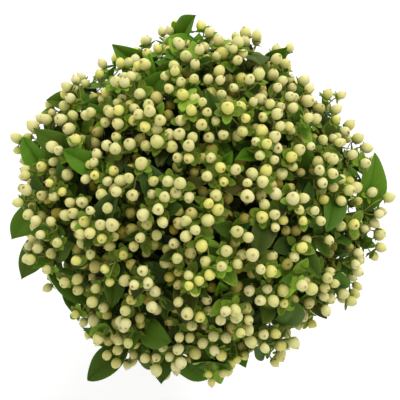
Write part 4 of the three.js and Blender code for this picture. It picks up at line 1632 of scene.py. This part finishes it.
def sepals(own):
    # those that hardly show under their berry, and the larger ones round it
    rule = sepalRule
    found = {"small": [], "large": []}
    for berry in own:
        c, b = berry["cluster"]["id"], berry["order"]
        bottom = berry["at"] - berry["axis"] * berryRule["long"] * berry["radius"]
        shows = draw(c, b, 55) < between(rule["large"], nearness("fresh", berry["at"]))
        kind = "youngLong" if berry["young"] else "largeLong" if shows else "long"
        for k in range(rule["count"]):
            number = 10 * b + k
            turn = fullTurn * (k / rule["count"] + draw(c, b, 50)) + rule["turn"] * spread(c, number, 51)
            size = berry["radius"] * between(rule[kind], draw(c, b, 56))
            size *= 1 + rule["uneven"] * spread(c, number, 52)
            rise = rule["youngRise" if berry["young"] else "rise"] + rule["riseVary"] * spread(c, b, 53)
            rise += rule["riseOwn"] * spread(c, number, 53)
            arch = rule["bend"] * (rule["archMost"] - rule["archVary"] * draw(c, number, 57))
            # painted shade on the sepals of berries deep under their cluster
            tone = freshTone(berry["at"], draw(c, number, 54)) * (1 - rule["deepShade"] * clusterDepth(berry))
            sepal = bladeBeside(bottom, berry["axis"], turn, rule["rootOut"], rise, size, arch, tone)
            found["small" if kind == "long" else "large"].append(sepal)
    return found


stalkForm = {
    "sides": 12,
    "foot": 2.3,            # radii at the foot and the tip
    "tip": 1.3,
    "samples": 120,
    "step": 8,              # between rings
    "leastStep": 0.5,
    "firstNode": (16, 36),  # height of the lowest of the joints that its leaves grew from
    "lastNode": 10,         # none is nearer its tip than this
    "nodeStep": 34,
    "node": 0.2,            # how much a joint swells
    "nodeWide": 1.3,
    "nodeRings": (-2.4, -1.2, 0, 1.2, 2.4),
    "cutRings": (0.3, 0.92),    # rings on the cut end, in radii, and how far in each is for the tint
    "cutTints": (1.0, 0.7),
}

twigForm = {
    "rings": 16,
    "sides": 8,
    "radii": (1.05, 0.85),
    "start": 0.5,           # how much it swells at both ends and at its joints, and over what share of it
    "end": 0.35,
    "endWide": 0.05,
    "node": 0.25,
    "nodeWide": 0.04,
    "along": (0.7, 0.95),   # as wood, it is as young as this part of a stalk
}

pedicelForm = {
    "rings": 7,
    "sides": 5,
    "radius": 0.6,
    "flare": 0.7,
    "flareWide": 0.12,
    "sunk": 0.98,           # how far from its middle it meets the berry
    "bend": 0.4,
}


def bulge(where, at, wide):
    return np.exp(-((where - at) / wide) ** 2)


def runAlong(row):
    return np.concatenate([[0], np.cumsum(np.linalg.norm(np.diff(row, axis=0), axis=1))])


def addStalk(part, stem):
    form, stalk = stalkForm, stem["stalk"]
    dense = np.linspace(0, 1, form["samples"])
    lower = stalk["foot"] + (stalk["row"][0] - stalk["foot"]) * dense[:-1, None]
    line = np.concatenate([lower, bezier(stalk["path"], dense)])
    share = np.concatenate([np.zeros(len(lower)), dense])
    run = runAlong(line)
    lowest = between(form["firstNode"], draw(stem["index"], 60))
    joints = np.arange(lowest, run[-1] - form["lastNode"], form["nodeStep"])
    stations = np.concatenate([np.arange(0, run[-1], form["step"]), [run[-1]]]
                              + [joints + shift for shift in form["nodeRings"]])
    stations = np.unique(np.clip(stations, 0, run[-1]).round(2))
    stations = stations[np.concatenate([[True], np.diff(stations) > form["leastStep"]])]
    row = np.stack([np.interp(stations, run, line[:, c]) for c in range(3)], 1)
    radii = between((form["foot"], form["tip"]), np.interp(stations, run, share))
    radii = radii * (1 + form["node"] * bulge(stations[:, None], joints, form["nodeWide"]).sum(1))
    points = tubePoints(row[None], radii[None], form["sides"])[0]
    points[0] -= stalk["lean"] * (points[0, :, 2:] / stalk["lean"][2])      # cut level
    middle = points[0].mean(0)
    ends = [middle + (points[0] - middle) * wide for wide in form["cutRings"]]
    points = np.concatenate([ends, points]).reshape(1, -1, 3)
    along = np.repeat(np.concatenate([[0, 0], stations / run[-1]]), form["sides"])
    cut = np.repeat(np.concatenate([form["cutTints"], np.zeros(len(stations))]), form["sides"])
    faces = ringFaces(len(stations) + len(ends), form["sides"])
    addCopies(part, points, faces, along=along, cut=cut)


def addTubes(part, paths, radii, t, form, along):
    rows = np.array([bezier(path, t) for path in paths])
    points = tubePoints(rows, np.repeat(radii[None], len(rows), 0), form["sides"])
    faces = ringFaces(form["rings"], form["sides"])
    addCopies(part, points.reshape(len(rows), -1, 3), faces, along=along, cut=0.0)


def addTwigs(part, stem):
    form = twigForm
    t = np.linspace(0, 1, form["rings"])
    swell = 1 + form["start"] * bulge(t, 0, form["endWide"]) + form["end"] * bulge(t, 1, form["endWide"])
    radii = between(form["radii"], t) * swell
    for joint in smallLeafRule["onTwig"]:
        radii = radii * (1 + form["node"] * bulge(t, joint, form["nodeWide"]))
    along = np.repeat(between(form["along"], t), form["sides"])
    addTubes(part, [twig["path"] for twig in stem["twigs"]], radii, t, form, along)


def addPedicels(part, own):
    form = pedicelForm
    t = np.linspace(0, 1, form["rings"])
    paths = []
    for berry in own:
        bottom = berry["at"] - berry["axis"] * berryRule["long"] * form["sunk"] * berry["radius"]
        over = bottom - berry["axis"] * form["bend"] * length(bottom - berry["root"])
        paths.append([berry["root"], over, bottom])
    radii = form["radius"] * (1 + form["flare"] * bulge(t, 1, form["flareWide"]))
    addTubes(part, paths, radii, t, form, 1.0)


tieForm = {
    "turns": 4,
    "radius": 1.6,
    "sides": 15,
    "rings": 110,           # in a turn
    "stepOver": 0.1,        # share of a turn in which it climbs to the next
    "gap": 0.7,
    "plies": 3,
    "lay": 7.5,             # length of twine over which a ply goes once round it
    "ply": 0.16,            # depth of the groove between plies
    "plyRound": 1.5,
    "sharp": 75,            # degrees from which an edge is sharp
    "knotWide": 5.2,
    "knotHigh": 4.4,
    "knotDeep": 1.5,
    "knotOut": 1.2,
    "knotRings": 90,
    "knotSides": 12,
    "knotTwine": 0.8,       # the knot is pulled tight, so its twine is thinner
    "tailAt": (1.5, 1.0),   # beside and below the middle of the knot
    "tailOver": (3.0, -1.5, -2.0),      # from there to the point that bends it, and to its end
    "tailEnd": (3.6, -0.5, -7.5),
    "tailRings": 14,
}


def addTwine(part, row, radius, sides):
    form = tieForm
    points = tubePoints(row[None], np.full((1, len(row)), 1.0), sides)[0]
    turn = form["plies"] * ringAngles(sides)[None] / 2
    turn = turn - form["plies"] * math.pi * runAlong(row)[:, None] / form["lay"]
    groove = 1 - abs(np.cos(turn))
    thick = radius * (1 - form["ply"] * groove ** form["plyRound"])
    points = row[:, None] + (points - row[:, None]) * thick[..., None]
    addCopies(part, points.reshape(1, -1, 3), ringFaces(len(row), sides), groove=groove.ravel())


def makeTie():
    form = tieForm
    part = newPart()
    turns, radius, waist = form["turns"], form["radius"], bundle["waist"]
    inner = bundle["ringStep"] * (len(bundle["rings"]) - 1) + stalkForm["foot"] + form["gap"]
    middle = inner + radius
    turn = np.linspace(0, turns, turns * form["rings"] + 1)
    step = np.clip((turn % 1 - (1 - form["stepOver"])) / form["stepOver"], 0, 1)
    step = np.where(turn >= turns, 0, step)
    whole = np.minimum(np.floor(turn), turns - 1)
    level = radius * (2 * (whole + step * (whole < turns - 1)) + 1 - turns)
    angle = fullTurn * turn - math.pi / 2
    row = np.stack([middle * np.cos(angle), middle * np.sin(angle), waist + level], 1)
    addTwine(part, row, radius, form["sides"])
    u = np.linspace(0, fullTurn, form["knotRings"])
    front = middle + radius + form["knotOut"]
    knot = np.stack([form["knotWide"] * (np.sin(u) + 2 * np.sin(2 * u)) / 3,
                     -front - form["knotDeep"] * np.sin(3 * u),
                     waist + form["knotHigh"] * (np.cos(u) - 2 * np.cos(2 * u)) / 3], 1)
    knotRadius = form["knotTwine"] * radius
    addTwine(part, knot, knotRadius, form["knotSides"])
    for hand in (-1, 1):
        mirror = np.array([hand, 1, 1])
        start = np.array([hand * form["tailAt"][0], -front, waist - form["tailAt"][1]])
        path = [start, start + mirror * form["tailOver"], start + mirror * form["tailEnd"]]
        tail = bezier(path, np.linspace(0, 1, form["tailRings"]))
        addTwine(part, tail, knotRadius, form["knotSides"])
    makePiece("twine", part, twineFibre, "tie", form["sharp"])


# The finer pieces that replace a stem's solid: material, slot, and the angle from which an edge is sharp.
stemPieces = {
    "berries": (berrySkin, "berry", 80),
    "sepals": (sepalSkin, "sepal", 60),
    "leaves": (leafBlade, "leaf", 60),
    "wood": (stemBark, "stem", 50),
}


def dressStem(stem, small):
    parts = {kind: newPart() for kind in stemPieces}
    own = [berry for berry in berries if berry["stem"] == stem["index"]]
    found = sepals(own)
    addBerries(parts["berries"], own)
    addBlades(parts["sepals"], found["small"], sepalForm)
    addBlades(parts["sepals"], found["large"], largeSepalForm)
    addBlades(parts["sepals"], bracts(stem), bractForm)
    addBlades(parts["leaves"], bigLeaves(stem), leafForm)
    addBlades(parts["leaves"], small, smallLeafForm)
    addStalk(parts["wood"], stem)
    addTwigs(parts["wood"], stem)
    addPedicels(parts["wood"], own)
    label = f"{stem['index'] + 1:02d}"
    for kind, (material, slotName, sharp) in stemPieces.items():
        makePiece(f"{kind}_{label}", parts[kind], material, f"stem_{label}", sharp)


smallLeaves = planSmallLeaves(stems, wood, blades, berries)
for stem, small in zip(stems, smallLeaves):
    dressStem(stem, small)
makeTie()
faces = sum(len(poly.vertices) - 2 for piece in pieces for poly in piece.data.polygons)
print("dressed:", len(stems), "stems,", sum(len(s) for s in smallLeaves), "small leaves,", faces, "triangles")


studio = {
    "floorHalf": 4.0,
    "floorDrop": 0.0004,    # the floor lies this far under the feet
    "floor": tint(250, 250, 250),
    "floorRough": 0.9,
    "floorShine": 0.1,
    "glow": 0.15,
    "skyTint": (1, 1, 1, 1),
    "sky": 0.86,
    "lampSize": 1.6,
    "lampAt": (0.8, 2.2, 2.15),
    "lampAim": (0.0, 0.0, 0.35),
    "lampPower": 54,
    "view": 0.368,          # width of what the camera sees at the level of the head's rim
    "rim": 0.33,
    "away": 1.3,            # from the rim's level up to the camera
    "middle": (0.002, 0.004),
    "sensor": 36,
    "farthest": 50,
}


def makeStage():
    mesh = bpy.data.meshes.new("floor")
    half, level = studio["floorHalf"], -studio["floorDrop"]
    corners = [(x * half, y * half, level) for x, y in ((-1, -1), (1, -1), (1, 1), (-1, 1))]
    mesh.from_pydata(corners, [], [(0, 1, 2, 3)])
    material, tree = newMaterial("paleFloor")
    feed(tree, tree.nodes["Principled BSDF"], {
        "Base Color": studio["floor"], "Roughness": studio["floorRough"],
        "Specular IOR Level": studio["floorShine"], "Emission Color": studio["floor"],
        "Emission Strength": studio["glow"]})
    mesh.materials.append(material)
    floor = bpy.data.objects.new("floor", mesh)
    bpy.context.scene.collection.objects.link(floor)


def makeLights():
    world = bpy.data.worlds.new("studio")
    bpy.context.scene.world = world
    world.use_nodes = True
    sky = world.node_tree.nodes["Background"]
    feed(world.node_tree, sky, {"Color": studio["skyTint"], "Strength": studio["sky"]})
    lamp = bpy.data.lights.new("softbox", "AREA")
    lamp.size = studio["lampSize"]
    lamp.energy = studio["lampPower"]
    softbox = bpy.data.objects.new("softbox", lamp)
    softbox.location = studio["lampAt"]
    away = softbox.location - Vector(studio["lampAim"])
    softbox.rotation_euler = away.to_track_quat("Z", "Y").to_euler()
    bpy.context.scene.collection.objects.link(softbox)


def makeCamera():
    # straight above the bunch, with +Y at the top of the view
    data = bpy.data.cameras.new("camera")
    data.sensor_width = studio["sensor"]
    data.lens = data.sensor_width * studio["away"] / studio["view"]
    data.clip_end = studio["farthest"]
    camera = bpy.data.objects.new("camera", data)
    camera.location = (*studio["middle"], studio["rim"] + studio["away"])
    bpy.context.scene.collection.objects.link(camera)
    bpy.context.scene.camera = camera


makeStage()
makeLights()
makeCamera()
bpy.context.scene.view_settings.view_transform = "Standard"
print("studio set")
